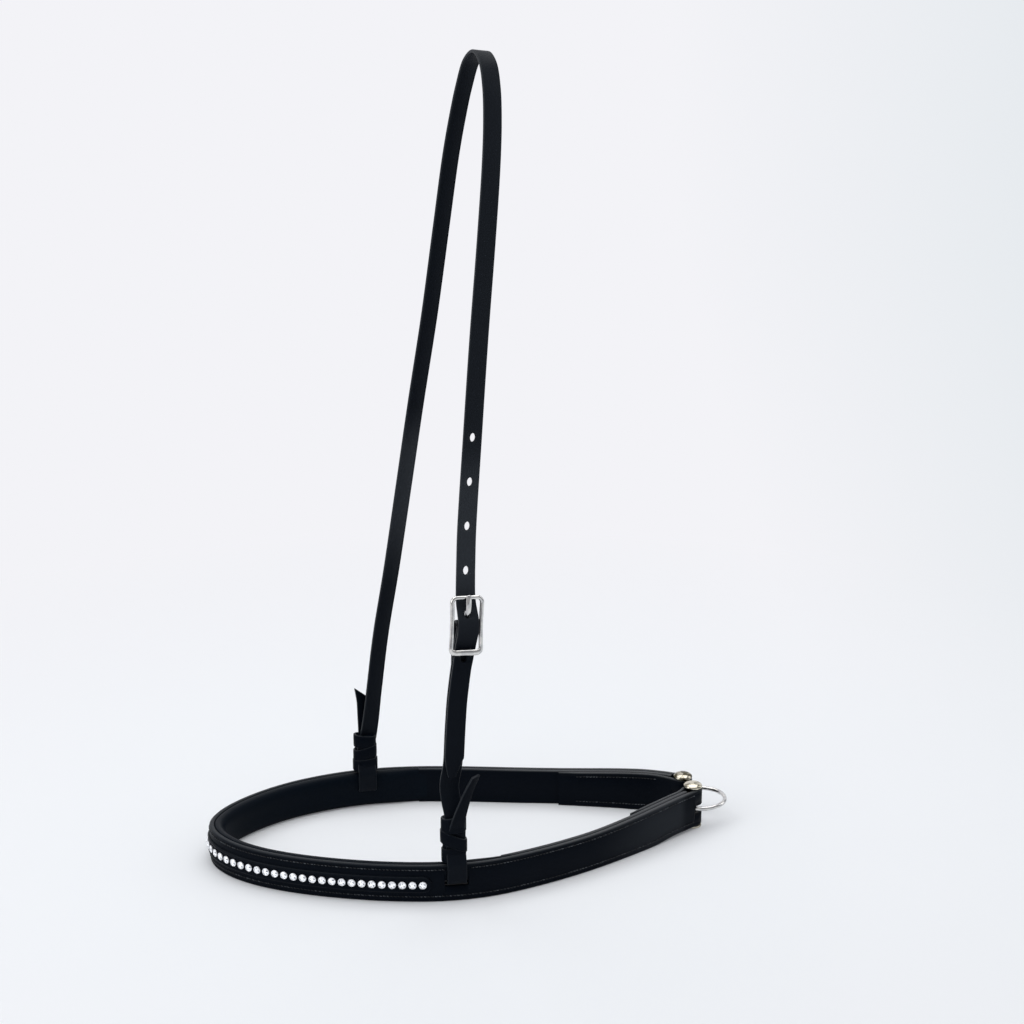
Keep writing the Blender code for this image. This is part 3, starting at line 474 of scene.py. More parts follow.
def run_share(tree, value, marks):
    """Output that rises from 0 to 1 between the first two marks and falls back between the last two."""
    rise = add_node(tree, "ShaderNodeMapRange", {"interpolation_type": "SMOOTHSTEP"}, Value=value)
    fall = add_node(tree, "ShaderNodeMapRange", {"interpolation_type": "SMOOTHSTEP"}, Value=value)
    for node, (low, high), (first, last) in ((rise, marks[:2], (0, 1)), (fall, marks[2:], (1, 0))):
        node.inputs["From Min"].default_value = low
        node.inputs["From Max"].default_value = high
        node.inputs["To Min"].default_value = first
        node.inputs["To Max"].default_value = last
    both = add_node(tree, "ShaderNodeMath", {"operation": "MULTIPLY"})
    tree.links.new(rise.outputs["Result"], both.inputs[0])
    tree.links.new(fall.outputs["Result"], both.inputs[1])
    return both.outputs[0]


def leather(name, colour, edge_colour, roughness, grain, depth, sheen_colour=None, sheen_runs=(), base=0.0):
    """Dyed, dressed cowhide: close pores, slow changes of shade and cut edges that are rubbed and shiny.

    grain is the size of a pore pattern in metres. Real pores are under 0.4 mm, too fine to show in the
    picture, so they are drawn coarser. The sheen colour is a painted sheen, the leather made lighter where
    light falls on it: base is its share everywhere, and each run is (axis, four marks along it, marks across
    to the near side, share).
    """
    material, tree, shader = blank_material(name, IOR=1.5)
    place = add_node(tree, "ShaderNodeTexCoord").outputs["Object"]
    edge = add_node(tree, "ShaderNodeAttribute", {"attribute_name": "edge"}).outputs["Fac"]
    parts = add_node(tree, "ShaderNodeSeparateXYZ", None, Vector=place).outputs
    rear = add_node(tree, "ShaderNodeMapRange", None, Value=parts["X"])
    rear.inputs["From Min"].default_value = -0.02
    rear.inputs["From Max"].default_value = 0.08
    rear.inputs["To Min"].default_value = 0.13
    rear.inputs["To Max"].default_value = 0.40
    sheen = add_node(tree, "ShaderNodeMapRange", None, Value=edge)
    sheen.inputs["To Min"].default_value = 0.04
    tree.links.new(rear.outputs["Result"], sheen.inputs["To Max"])
    tree.links.new(sheen.outputs["Result"], shader.inputs["Specular IOR Level"])
    shade = add_node(tree, "ShaderNodeTexNoise", None, Vector=place, Scale=1 / 0.028, Detail=3.0)
    pores = add_node(tree, "ShaderNodeTexVoronoi", None, Vector=place, Scale=1 / grain)
    fibre = add_node(tree, "ShaderNodeTexNoise", None, Vector=place, Scale=1 / (grain * 0.6), Detail=4.0)
    lighter = [min(1.0, value * 1.35 + 0.0008) for value in colour]
    face = add_node(tree, "ShaderNodeMix", {"data_type": "RGBA"})
    tree.links.new(shade.outputs["Fac"], face.inputs[0])
    face.inputs[6].default_value = (*colour, 1)
    face.inputs[7].default_value = (*lighter, 1)
    tone_and_sheen = face.outputs[2]
    # Painted sheen: a lighter colour mixed in where light falls on the leather
    if sheen_colour:
        total = add_node(tree, "ShaderNodeValue").outputs[0]
        total.default_value = base
        for axis, marks, sides, strength in sheen_runs:
            along = run_share(tree, parts[axis], marks)
            near = add_node(tree, "ShaderNodeMapRange", None, Value=parts["Y"])
            near.inputs["From Min"].default_value, near.inputs["From Max"].default_value = sides
            near.inputs["To Min"].default_value = strength
            near.inputs["To Max"].default_value = 0.0
            part = add_node(tree, "ShaderNodeMath", {"operation": "MULTIPLY"})
            tree.links.new(along, part.inputs[0])
            tree.links.new(near.outputs["Result"], part.inputs[1])
            more = add_node(tree, "ShaderNodeMath", {"operation": "ADD", "use_clamp": True})
            tree.links.new(total, more.inputs[0])
            tree.links.new(part.outputs[0], more.inputs[1])
            total = more.outputs[0]
        painted_sheen = add_node(tree, "ShaderNodeMix", {"data_type": "RGBA"})
        tree.links.new(total, painted_sheen.inputs[0])
        tree.links.new(tone_and_sheen, painted_sheen.inputs[6])
        painted_sheen.inputs[7].default_value = (*sheen_colour, 1)
        tone_and_sheen = painted_sheen.outputs[2]
    rubbed = add_node(tree, "ShaderNodeMath", {"operation": "MULTIPLY", "use_clamp": True})
    tree.links.new(edge, rubbed.inputs[0])
    wear = add_node(tree, "ShaderNodeMapRange", None, Value=fibre.outputs["Fac"])
    wear.inputs["From Min"].default_value = 0.35
    wear.inputs["From Max"].default_value = 0.65
    wear.inputs["To Min"].default_value = 0.45
    wear.inputs["To Max"].default_value = 1.0
    tree.links.new(wear.outputs["Result"], rubbed.inputs[1])
    whole = add_node(tree, "ShaderNodeMix", {"data_type": "RGBA"})
    tree.links.new(rubbed.outputs[0], whole.inputs[0])
    tree.links.new(tone_and_sheen, whole.inputs[6])
    whole.inputs[7].default_value = (*edge_colour, 1)
    tree.links.new(whole.outputs[2], shader.inputs["Base Color"])
    gloss = add_node(tree, "ShaderNodeMapRange", None, Value=shade.outputs["Fac"])
    gloss.inputs["To Min"].default_value = roughness - 0.07
    gloss.inputs["To Max"].default_value = roughness + 0.07
    tree.links.new(gloss.outputs["Result"], shader.inputs["Roughness"])
    relief = add_node(tree, "ShaderNodeMath", {"operation": "ADD"})
    tree.links.new(pores.outputs["Distance"], relief.inputs[0])
    tree.links.new(fibre.outputs["Fac"], relief.inputs[1])
    bump = add_node(tree, "ShaderNodeBump", None, Height=relief.outputs[0], Distance=depth, Strength=0.7)
    tree.links.new(bump.outputs["Normal"], shader.inputs["Normal"])
    return material


def polished_metal(name, colour, dark_reflection_colour, patch, drift, roughness, streaks):
    """Plated steel or brass, buffed: mirror bright, with fine hairlines and patches of painted dark reflection.

    patch is the size of the painted dark reflections in metres, drift how fast they grow towards the far side.
    """
    material, tree, shader = blank_material(name, Metallic=1.0)
    place = add_node(tree, "ShaderNodeTexCoord").outputs["Object"]
    cloud = add_node(tree, "ShaderNodeTexNoise", None, Vector=place, Scale=1 / patch, Detail=2.0)
    # Painted dark reflections: cloudy patches of the darker colour
    bright_share = add_node(tree, "ShaderNodeMapRange", None, Value=cloud.outputs["Fac"])
    bright_share.inputs["From Min"].default_value = 0.42
    bright_share.inputs["From Max"].default_value = 0.60
    parts = add_node(tree, "ShaderNodeSeparateXYZ", None, Vector=place)
    # Painted shade: the share of the bright colour grows towards the near side, so the far bolt is darker
    nearer_lighter = add_node(tree, "ShaderNodeMath", {"operation": "MULTIPLY_ADD"})
    tree.links.new(parts.outputs["Y"], nearer_lighter.inputs[0])
    nearer_lighter.inputs[1].default_value = -drift
    nearer_lighter.inputs[2].default_value = drift * BOLTS_MIDDLE
    share = add_node(tree, "ShaderNodeMath", {"operation": "ADD", "use_clamp": True})
    tree.links.new(bright_share.outputs["Result"], share.inputs[0])
    tree.links.new(nearer_lighter.outputs[0], share.inputs[1])
    tone = add_node(tree, "ShaderNodeMix", {"data_type": "RGBA"})
    tree.links.new(share.outputs[0], tone.inputs[0])
    tone.inputs[6].default_value = (*dark_reflection_colour, 1)
    tone.inputs[7].default_value = (*colour, 1)
    tree.links.new(tone.outputs[2], shader.inputs["Base Color"])
    squeezed = add_node(tree, "ShaderNodeMapping", None, Vector=place, Scale=(1.0, 1.0, 9.0))
    lines = add_node(tree, "ShaderNodeTexNoise", None, Vector=squeezed.outputs["Vector"], Scale=1 / 0.0012)
    gloss = add_node(tree, "ShaderNodeMapRange", None, Value=lines.outputs["Fac"])
    gloss.inputs["To Min"].default_value = roughness * 0.6
    gloss.inputs["To Max"].default_value = roughness * 1.5
    tree.links.new(gloss.outputs["Result"], shader.inputs["Roughness"])
    bump = add_node(tree, "ShaderNodeBump", None, Height=lines.outputs["Fac"], Distance=streaks, Strength=0.5)
    tree.links.new(bump.outputs["Normal"], shader.inputs["Normal"])
    return material


def foiled_crystal(name, colour):
    """Cut lead glass foiled with silver: a painted reflection on each facet, and a painted glow."""
    material, tree, shader = blank_material(name, Metallic=0.6, Roughness=0.08, Coat_Weight=1.0,
                                            Coat_Roughness=0.02)
    # Painted reflections: each facet's painted glint value picks its colour between dark grey and bright
    painted_glint = add_node(tree, "ShaderNodeAttribute", {"attribute_name": "painted_glint"}).outputs["Fac"]
    ramp = add_node(tree, "ShaderNodeValToRGB", None, Fac=painted_glint)
    ramp.color_ramp.elements[0].color = (*hex_colour("#5A6068"), 1)
    ramp.color_ramp.elements[1].color = (*colour, 1)
    ramp.color_ramp.elements[1].position = 0.50
    tree.links.new(ramp.outputs["Color"], shader.inputs["Base Color"])
    tree.links.new(ramp.outputs["Color"], shader.inputs["Emission Color"])
    # Painted glow: the stones give out light in their facet colours
    shader.inputs["Emission Strength"].default_value = 0.45
    return material


def silver_cup(name, colour):
    """Thin stamped silver: it catches the light round its rolled rim, with faint clouding and a painted glow."""
    material, tree, shader = blank_material(name, Metallic=0.7, Roughness=0.30, Emission_Strength=0.12)
    place = add_node(tree, "ShaderNodeTexCoord").outputs["Object"]
    cloud = add_node(tree, "ShaderNodeTexNoise", None, Vector=place, Scale=1 / 0.0009, Detail=2.0)
    tone = add_node(tree, "ShaderNodeMix", {"data_type": "RGBA"})
    tree.links.new(cloud.outputs["Fac"], tone.inputs[0])
    tone.inputs[6].default_value = (*[value * 0.7 for value in colour], 1)
    tone.inputs[7].default_value = (*colour, 1)
    tree.links.new(tone.outputs[2], shader.inputs["Base Color"])
    # Painted glow: the cup gives out a little light in its own colour
    tree.links.new(tone.outputs[2], shader.inputs["Emission Color"])
    return material


def waxed_thread(name, colour, bare):
    """Linen thread drawn through black wax: twisted strands with a dull shine, pale where the wax has gone."""
    material, tree, shader = blank_material(name, Roughness=0.5, Specular_IOR_Level=0.35)
    place = add_node(tree, "ShaderNodeTexCoord").outputs["Object"]
    strands = add_node(tree, "ShaderNodeTexWave", {"bands_direction": "DIAGONAL"}, Vector=place, Scale=420.0)
    tone = add_node(tree, "ShaderNodeMix", {"data_type": "RGBA"})
    tree.links.new(strands.outputs["Fac"], tone.inputs[0])
    tone.inputs[6].default_value = (*[value * 0.6 for value in colour], 1)
    tone.inputs[7].default_value = (*colour, 1)
    spots = add_node(tree, "ShaderNodeTexNoise", None, Vector=place, Scale=1 / 0.0030, Detail=1.0)
    waxed = add_node(tree, "ShaderNodeMapRange", None, Value=spots.outputs["Fac"])
    waxed.inputs["From Min"].default_value = 0.50
    waxed.inputs["From Max"].default_value = 0.62
    whole = add_node(tree, "ShaderNodeMix", {"data_type": "RGBA"})
    tree.links.new(waxed.outputs["Result"], whole.inputs[0])
    tree.links.new(tone.outputs[2], whole.inputs[6])
    whole.inputs[7].default_value = (*bare, 1)
    tree.links.new(whole.outputs[2], shader.inputs["Base Color"])
    bump = add_node(tree, "ShaderNodeBump", None, Height=strands.outputs["Fac"], Distance=0.00006)
    tree.links.new(bump.outputs["Normal"], shader.inputs["Normal"])
    return material


# Painted sheen, where light falls on the leather: axis, marks along it, marks from the near side to the far, share
# On the band it lies along the near arm towards the rear
BAND_SHEEN_RUNS = (("X", (0.070, 0.132, 0.142, 0.149), (-0.004, 0.004), 0.42),)
# On the hanging strap it lies round the holes on both legs, and all the way up the near leg, which catches more
# light
HANGER_SHEEN_RUNS = (
    ("Z", (0.165, 0.225, 0.262, 0.300), (1.0, 2.0), 0.60),
    ("Z", (0.165, 0.195, 1.0, 2.0), (-0.010, 0.020), 0.22),
)


def finish_named(name):
    """The material of that name, made on its first use from the scene's colours."""
    made = bpy.data.materials.get(name)
    if made:
        return made
    colours = bpy.context.scene.noseband_colours
    makers = {
        # Both strap leathers carry a painted sheen where light falls; the hanging strap's is also a little lighter
        # all over
        "Black bridle leather": lambda: leather(name, colours.leather, colours.leather_edge, 0.40, 0.0011, 0.00007,
                                                colours.painted_sheen, BAND_SHEEN_RUNS),
        "Hanging strap leather with painted sheen": lambda: leather(name, colours.leather, colours.leather_edge, 0.40, 0.0011, 0.00007,
                                                 colours.painted_sheen, HANGER_SHEEN_RUNS, 0.10),
        "Soft black calf lining": lambda: leather(name, colours.lining, colours.lining, 0.50, 0.0009, 0.00010),
        "Waxed black thread": lambda: waxed_thread(name, colours.thread, colours.bare_thread),
        "Polished nickel plate": lambda: polished_metal(name, colours.nickel, colours.nickel_dark_reflection, 0.004, 0.0,
                                                        0.10, 0.00001),
        "Polished pale brass": lambda: polished_metal(name, colours.brass, colours.brass_dark_reflection, 0.005, 34.0,
                                                      0.14, 0.00002),
        "Foiled cut crystal": lambda: foiled_crystal(name, colours.crystal),
        "Bright silver cup": lambda: silver_cup(name, colours.crystal),
    }
    return makers[name]()


def finished_piece(name, mesh, material, body, slot, *replaced):
    """Puts a piece in the scene, on its body, standing for its CAD nodes."""
    mesh.materials.clear()
    mesh.materials.append(finish_named(material))
    old = bpy.data.objects.get(name)
    if old:
        bpy.data.objects.remove(old, do_unlink=True)
    piece = bpy.data.objects.new(name, mesh)
    bpy.context.scene.collection.objects.link(piece)
    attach(piece, body)
    if replaced:
        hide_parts(*replaced)
    return piece


def plain_mesh(build, name):
    """A mesh from a bmesh, with its faces turned outwards."""
    bmesh.ops.recalc_face_normals(build, faces=build.faces)
    mesh = bpy.data.meshes.new(name)
    build.to_mesh(mesh)
    build.free()
    return mesh


def mesh_from(build, name, smooth=50):
    """A smooth mesh from a bmesh, moved to the frame's origin, with its sharp edges kept."""
    mesh = plain_mesh(build, name)
    mesh.transform(Matrix.Translation(-CENTRE))
    mesh.shade_smooth()
    mesh.set_sharp_from_angle(angle=math.radians(smooth))
    return mesh


def sweep(stations, outline, closed=False, build=None):
    """Carries a closed outline of (depth, height, edge) points along stations, into a bmesh.

    A station is a point with the vectors that depth and height are measured along. The UVs are in
    metres, U along the path and V round the outline, and "edge" is 1 on a cut edge.
    """
    build = build or bmesh.new()
    edge_layer = build.verts.layers.float.get("edge") or build.verts.layers.float.new("edge")
    uv_layer = build.loops.layers.uv.get("Length") or build.loops.layers.uv.new("Length")
    rings = []
    for point, thick, wide in stations:
        ring = []
        for depth, height, edge in outline:
            corner = build.verts.new(point + thick * depth + wide * height)
            corner[edge_layer] = edge
            ring.append(corner)
        rings.append(ring)
    along = lengths_along([station[0] for station in stations] + ([stations[0][0]] if closed else []))
    around = lengths_along([Vector((depth, height, 0)) for depth, height, _ in (*outline, outline[0])])
    pairs = list(zip(rings, rings[1:])) + ([(rings[-1], rings[0])] if closed else [])
    for number, (first, second) in enumerate(pairs):
        for index in range(len(outline)):
            following = (index + 1) % len(outline)
            face = build.faces.new((first[index], second[index], second[following], first[following]))
            places = ((number, index), (number + 1, index), (number + 1, index + 1), (number, index + 1))
            for loop, (step, turn) in zip(face.loops, places):
                loop[uv_layer].uv = (along[step], around[turn])
    if not closed:
        build.faces.new(rings[0][::-1])
        build.faces.new(rings[-1])
    return build


def round_corner(depth, height, radius, start):
    """Points of a quarter round, turning clockwise from a start angle in degrees."""
    points = []
    for turned_by in (0, 22.5, 45, 67.5, 90):
        angle = math.radians(start - turned_by)
        edge = abs(math.sin(angle)) ** 1.5
        points.append((depth + radius * math.cos(angle), height + radius * math.sin(angle), edge))
    return points


def strap_outline(width, thickness, radius, crease=0.0, sunk=0.0, low=0.0):
    """Section of a strap: rounded edges, and a pressed crease along both margins of its outer face."""
    half = thickness / 2
    high = low + width
    outline = [(-half, low + radius, 0.0)]
    if crease:
        groove = 0.0004
        for middle in (low + crease, high - crease):
            outline += [(-half, middle - groove, 0.0), (-half + sunk, middle, 0.0),
                        (-half, middle + groove, 0.0)]
    outline += round_corner(-half + radius, high - radius, radius, 180)
    outline += round_corner(half - radius, high - radius, radius, 90)
    outline += [(half, low + width / 2, 0.0)]
    outline += round_corner(half - radius, low + radius, radius, 0)
    outline += round_corner(-half + radius, low + radius, radius, -90)[:-1]
    return outline


def round_outline(radius, sides=16):
    """Section of a wire."""
    return [(radius * cosine, radius * sine, 0.0) for cosine, sine in circle(sides)]


def cut(mesh, cutters):
    """The mesh with other meshes taken from it."""
    item = bpy.data.objects.new("work", mesh)
    bpy.context.scene.collection.objects.link(item)
    tools = []
    for cutter in cutters:
        tool = bpy.data.objects.new("tool", cutter)
        bpy.context.scene.collection.objects.link(tool)
        change = item.modifiers.new("Cut", "BOOLEAN")
        change.operation = "DIFFERENCE"
        change.solver = "EXACT"
        change.object = tool
        tools.append(tool)
    result = bpy.data.meshes.new_from_object(item.evaluated_get(bpy.context.evaluated_depsgraph_get()))
    for leftover in [item, *tools]:
        bpy.data.objects.remove(leftover, do_unlink=True)
    return result


def placed(build, centre, axes):
    """A cutter's mesh, its own axes turned to three unit vectors."""
    build.transform(Matrix.Translation(centre) @ Matrix(axes).transposed().to_4x4())
    return mesh_from(build, "cutter")


def slab(centre, axes, size, rounding=0.0):
    """A box cutter, the edges along its second axis rounded."""
    build = bmesh.new()
    bmesh.ops.create_cube(build, size=1)
    for corner in build.verts:
        corner.co = Vector([share * length for share, length in zip(corner.co, size)])
    if rounding:
        lines = [(edge, (edge.verts[0].co - edge.verts[1].co).normalized()) for edge in build.edges]
        long_edges = [edge for edge, line in lines if abs(line.y) > 0.9]
        bmesh.ops.bevel(build, geom=long_edges, offset=rounding, segments=3, affect="EDGES", profile=0.5)
    return placed(build, centre, axes)


def drum(centre, axes, radii, length, sides=32):
    """An oval rod cutter along the third of its axes."""
    build = bmesh.new()
    bmesh.ops.create_cone(build, cap_ends=True, segments=sides, radius1=1, radius2=1, depth=length)
    for corner in build.verts:
        corner.co.x *= radii[0]
        corner.co.y *= radii[1]
    return placed(build, centre, axes)


def turned(build, profile, centre, sides=48):
    """A profile of (radius, height) points, from end to end of its axis, turned about the vertical."""
    rings = []
    for radius, height in profile:
        turns = circle(sides) if radius else [(0, 0)]
        rings.append([build.verts.new(centre + Vector((radius * cosine, radius * sine, height)))
                      for cosine, sine in turns])
    for first, second in zip(rings, rings[1:]):
        for side in range(sides):
            following = (side + 1) % sides
            corners = [first[side % len(first)], second[side % len(second)],
                       second[following % len(second)], first[following % len(first)]]
            build.faces.new(list(dict.fromkeys(corners)))
    return build


def slot_mesh(side):
    """Cutter for the slot that the hanging strap is laced through."""
    point, _, inward = BAND.at(SLOT[side])
    centre = point + inward * SLOT_MIDDLE_DEPTH + UPRIGHT * (SLOT_TOP + SLOT_BOTTOM[side]) / 2
    size = (SLOT_LENGTH, SLOT_CUT_DEPTH, SLOT_TOP - SLOT_BOTTOM[side])
    return slab(centre, (inward.cross(UPRIGHT), inward, UPRIGHT), size, SLOT_ROUNDING)


def return_line(side):
    """Middle line of the strap's end: back from the fold along the inside, outermost point last."""
    thick = bpy.context.scene.noseband_sizes.strap_thickness
    _, ahead, inward = BAND.at(0.0 if side == "near" else BAND.length)
    backwards = -ahead if side == "near" else ahead
    radius = FOLD_RADIUS - thick / 2
    points = []
    for angle in range(0, 181, 15):
        turn = math.radians(angle)
        points.append(BOLT[side] - inward * radius * math.cos(turn) + backwards * radius * math.sin(turn))
    depth = thick + BACKING_THICK + 3 * LAYER_GAP + RETURN_THICK / 2
    for share in (0.20, 0.32, 0.48, 0.66, 0.84, 1.0):
        reach = share * RETURN_LENGTH[side]
        point, _, inward = BAND.at(reach if side == "near" else BAND.length - reach)
        points.append(point + inward * depth)
    return smooth_line(points)


def strap_line():
    """The whole strap in plan: near return and fold, outer run, far fold and return."""
    half = bpy.context.scene.noseband_sizes.strap_thickness / 2
    outer = []
    run = BAND.length - 2 * FOLD_CLEARANCE
    for distance in evenly(FOLD_CLEARANCE, FOLD_CLEARANCE + run, run / 300):
        point, _, inward = BAND.at(distance)
        outer.append(point + inward * half)
    return return_line("near")[::-1] + outer + return_line("far")


def strap_stations():
    """Stations of the band's strap, skived at its very ends and thinner along the returns."""
    full = bpy.context.scene.noseband_sizes.strap_thickness
    line = resampled(strap_line(), 0.0014)
    marks = lengths_along(line)

    def share(distance, reach):
        return between(((0, SKIVED_THICK / full), (SKIVE_LENGTH, RETURN_THICK / full),
                        (reach - RETURN_BLEND, RETURN_THICK / full), (reach, 1.0)), distance)

    stations = []
    for index, point in enumerate(line):
        ahead = run_of(line, index)
        thin = min(share(marks[index], RETURN_LENGTH["near"]),
                   share(marks[-1] - marks[index], RETURN_LENGTH["far"]))
        stations.append(BAND.station(point, Vector((ahead.y, -ahead.x, 0)) * thin))
    return stations


def band_stations(start, end, depth, step=0.0025, ends=None):
    """Stations along the band at a depth behind its outer face; ends(distance) may thin them."""
    stations = []
    for distance in evenly(start, end, step):
        point, _, inward = BAND.at(distance)
        thin = ends(min(distance - start, end - distance)) if ends else 1.0
        spot, _, wide = BAND.station(point + inward * depth, inward)
        stations.append((spot, inward * thin, wide))
    return stations


class NOSEBAND_OT_strap(bpy.types.Operator):
    """Make the outer strap of the band, folded round both bolts and cut for the ring and the hanging strap"""

    bl_idname = "noseband.strap"
    bl_label = "Outer strap"

    def execute(self, context):
        sizes = context.scene.noseband_sizes
        outline = strap_outline(sizes.band_height, sizes.strap_thickness, sizes.edge_radius, STRAP_CREASE,
                                STRAP_CREASE_SUNK)
        mesh = mesh_from(sweep(strap_stations(), outline), "noseband_strap_leather")
        notch = drum(RING_CENTRE - UPRIGHT * NOTCH_DROP, Matrix.Identity(3), (NOTCH_RADIUS, NOTCH_RADIUS),
                     NOTCH_HEIGHT, 64)
        mesh = cut(mesh, [slot_mesh("near"), slot_mesh("far"), notch])
        finished_piece("band_strap", mesh, "Black bridle leather", "noseband", "strap_leather",
                       "noseband_strap")
        return {"FINISHED"}


class NOSEBAND_OT_backings(bpy.types.Operator):
    """Make the second layer of leather along each rear arm"""

    bl_idname = "noseband.backings"
    bl_label = "Rear backings"

    def execute(self, context):
        sizes = context.scene.noseband_sizes
        outline = strap_outline(sizes.band_height, BACKING_THICK, sizes.edge_radius)
        depth = sizes.strap_thickness + LAYER_GAP + BACKING_THICK / 2
        spans = {
            "near": (BACKING_END, SLOT["near"] - PAD_END_FROM_SLOT["near"] + BACKING_UNDER_PAD),
            "far": (SLOT["far"] + PAD_END_FROM_SLOT["far"] - BACKING_UNDER_PAD, BAND.length - BACKING_END),
        }
        for side, (start, end) in spans.items():
            mesh = mesh_from(sweep(band_stations(start, end, depth), outline), f"{side}_backing_leather")
            finished_piece(f"{side}_arm_backing", mesh, "Black bridle leather", "noseband", "strap_leather",
                           f"{side}_backing")
        return {"FINISHED"}


class NOSEBAND_OT_padding(bpy.types.Operator):
    """Make the soft lining, stuffed round over the pad on the inside of the front"""

    bl_idname = "noseband.padding"
    bl_label = "Padded lining"

    def execute(self, context):
        sizes = context.scene.noseband_sizes
        start = SLOT["near"] - PAD_END_FROM_SLOT["near"]
        end = SLOT["far"] + PAD_END_FROM_SLOT["far"]
        first = sizes.strap_thickness + LAYER_GAP
        depth = sizes.padded_depth - first
        middle = sizes.band_height / 2
        half_heights = ((0.0, 0.0119), (0.06, 0.0123), (0.16, 0.01265), (0.32, 0.01275), (0.50, 0.0125),
                        (0.68, 0.0118), (0.84, 0.0105), (0.94, 0.0088), (1.0, 0.0060), (1.0, 0.0030))
        upper = [(depth * share, height, 0.6 if 0.1 < share < 0.6 else 0.0) for share, height in half_heights]
        outline = [(across, middle + height, edge) for across, height, edge in upper]
        outline += [(depth * 0.985, middle, 0.0)]
        outline += [(across, middle - height, edge) for across, height, edge in reversed(upper)]
        outline += [(0.0, middle, 0.0)]

        def ends(distance):
            return PAD_END_SHARE + (1 - PAD_END_SHARE) * eased(distance, 0.0, PAD_TAPER)

        build = sweep(band_stations(start, end, first, 0.0022, ends), outline)
        mesh = mesh_from(build, "padded_lining", smooth=70)
        mesh = cut(mesh, [slot_mesh("near"), slot_mesh("far")])
        piece = finished_piece("padded_lining", mesh, "Soft black calf lining", "noseband", "lining_leather",
                               "noseband_lining", "noseband_pad")
        return {"FINISHED"}


class NOSEBAND_OT_channel(bpy.types.Operator):
    """Make the raised strip under the crystals, with a rolled rim along each side"""

    bl_idname = "noseband.channel"
    bl_label = "Raised channel"

    def execute(self, context):
        sizes = context.scene.noseband_sizes
        start = SLOT["near"] + CHANNEL_END_FROM_SLOT
        end = SLOT["far"] - CHANNEL_END_FROM_SLOT
        half = sizes.channel_width / 2
        thick = sizes.channel_thickness
        rim = ((1.0, 0.0, 0.1), (1.0, 0.45, 0.4), (0.95, 0.85, 0.4), (0.87, 1.0, 0.2), (0.78, 0.98, 0.0),
               (0.70, 0.80, 0.0), (0.62, 0.62, 0.0), (0.52, 0.58, 0.0))
        lower = [(-thick * out, -half * across, edge) for across, out, edge in rim]
        upper = [(-thick * out, half * across, edge) for across, out, edge in reversed(rim)]
        outline = lower + upper
        stations = []
        for distance in evenly(start, end, 0.0020):
            left = 1 - min(distance - start, end - distance, half) / half
            narrow = 0.3 + 0.7 * math.sqrt(max(0.0, 1 - left * left))
            point, _, inward = BAND.at(distance)
            stations.append((point + UPRIGHT * MID_HEIGHT - inward * LAYER_GAP, inward, UPRIGHT * narrow))
        mesh = mesh_from(sweep(stations, outline), "raised_channel_leather")
        finished_piece("crystal_channel", mesh, "Black bridle leather", "noseband", "strap_leather",
                       "raised_channel")
        return {"FINISHED"}


def guide_mesh(places):
    """Points that carry the direction that each copy runs and the one that it faces."""
    mesh = bpy.data.meshes.new("guide")
    mesh.from_pydata([point - CENTRE for point, _, _ in places], [], [])
    for name, index in (("ahead", 1), ("facing", 2)):
        layer = mesh.attributes.new(name, "FLOAT_VECTOR", "POINT")
        for value, place in zip(layer.data, places):
            value.vector = place[index]
    return mesh


def copies_tree():
    """Geometry nodes that set a shape on each guide point, turned to its directions and a little off true."""
    name = "Set shapes along a guide"
    old = bpy.data.node_groups.get(name)
    if old:
        return old
    tree = bpy.data.node_groups.new(name, "GeometryNodeTree")
    face = tree.interface
    face.new_socket("Guide", in_out="INPUT", socket_type="NodeSocketGeometry")
    face.new_socket("Shape", in_out="INPUT", socket_type="NodeSocketObject")
    face.new_socket("Finish", in_out="INPUT", socket_type="NodeSocketMaterial")
    face.new_socket("Off true", in_out="INPUT", socket_type="NodeSocketFloat")
    face.new_socket("Seed", in_out="INPUT", socket_type="NodeSocketInt")
    face.new_socket("Pieces", in_out="OUTPUT", socket_type="NodeSocketGeometry")
    given = tree.nodes.new("NodeGroupInput").outputs
    result = tree.nodes.new("NodeGroupOutput").inputs
    shape = add_node(tree, "GeometryNodeObjectInfo", None, Object=given["Shape"])
    ahead = add_node(tree, "GeometryNodeInputNamedAttribute", {"data_type": "FLOAT_VECTOR"}, Name="ahead")
    facing = add_node(tree, "GeometryNodeInputNamedAttribute", {"data_type": "FLOAT_VECTOR"}, Name="facing")
    turn = add_node(tree, "FunctionNodeAxesToRotation", {"primary_axis": "Z", "secondary_axis": "X"},
                    Primary_Axis=facing.outputs["Attribute"], Secondary_Axis=ahead.outputs["Attribute"])
    less = add_node(tree, "ShaderNodeMath", {"operation": "MULTIPLY"})
    tree.links.new(given["Off true"], less.inputs[0])
    less.inputs[1].default_value = -1.0
    swing = add_node(tree, "FunctionNodeRandomValue", {"data_type": "FLOAT"})
    wanted = {"Min": less.outputs[0], "Max": given["Off true"], "Seed": given["Seed"]}
    for socket in swing.inputs:
        if socket.enabled and socket.name in wanted:
            tree.links.new(wanted[socket.name], socket)
    swung = next(socket for socket in swing.outputs if socket.enabled)
    angles = add_node(tree, "ShaderNodeCombineXYZ", None, Z=swung)
    local = add_node(tree, "FunctionNodeEulerToRotation", None, Euler=angles.outputs[0])
    both = add_node(tree, "FunctionNodeRotateRotation", {"rotation_space": "LOCAL"})
    tree.links.new(turn.outputs[0], both.inputs[0])
    tree.links.new(local.outputs[0], both.inputs[1])
    setting = add_node(tree, "GeometryNodeInstanceOnPoints", None, Points=given["Guide"],
                       Instance=shape.outputs["Geometry"], Rotation=both.outputs[0])
    real = add_node(tree, "GeometryNodeRealizeInstances", None, Geometry=setting.outputs[0])
    coloured = add_node(tree, "GeometryNodeSetMaterial", None, Geometry=real.outputs[0],
                        Material=given["Finish"])
    tree.links.new(coloured.outputs[0], result[0])
    return tree


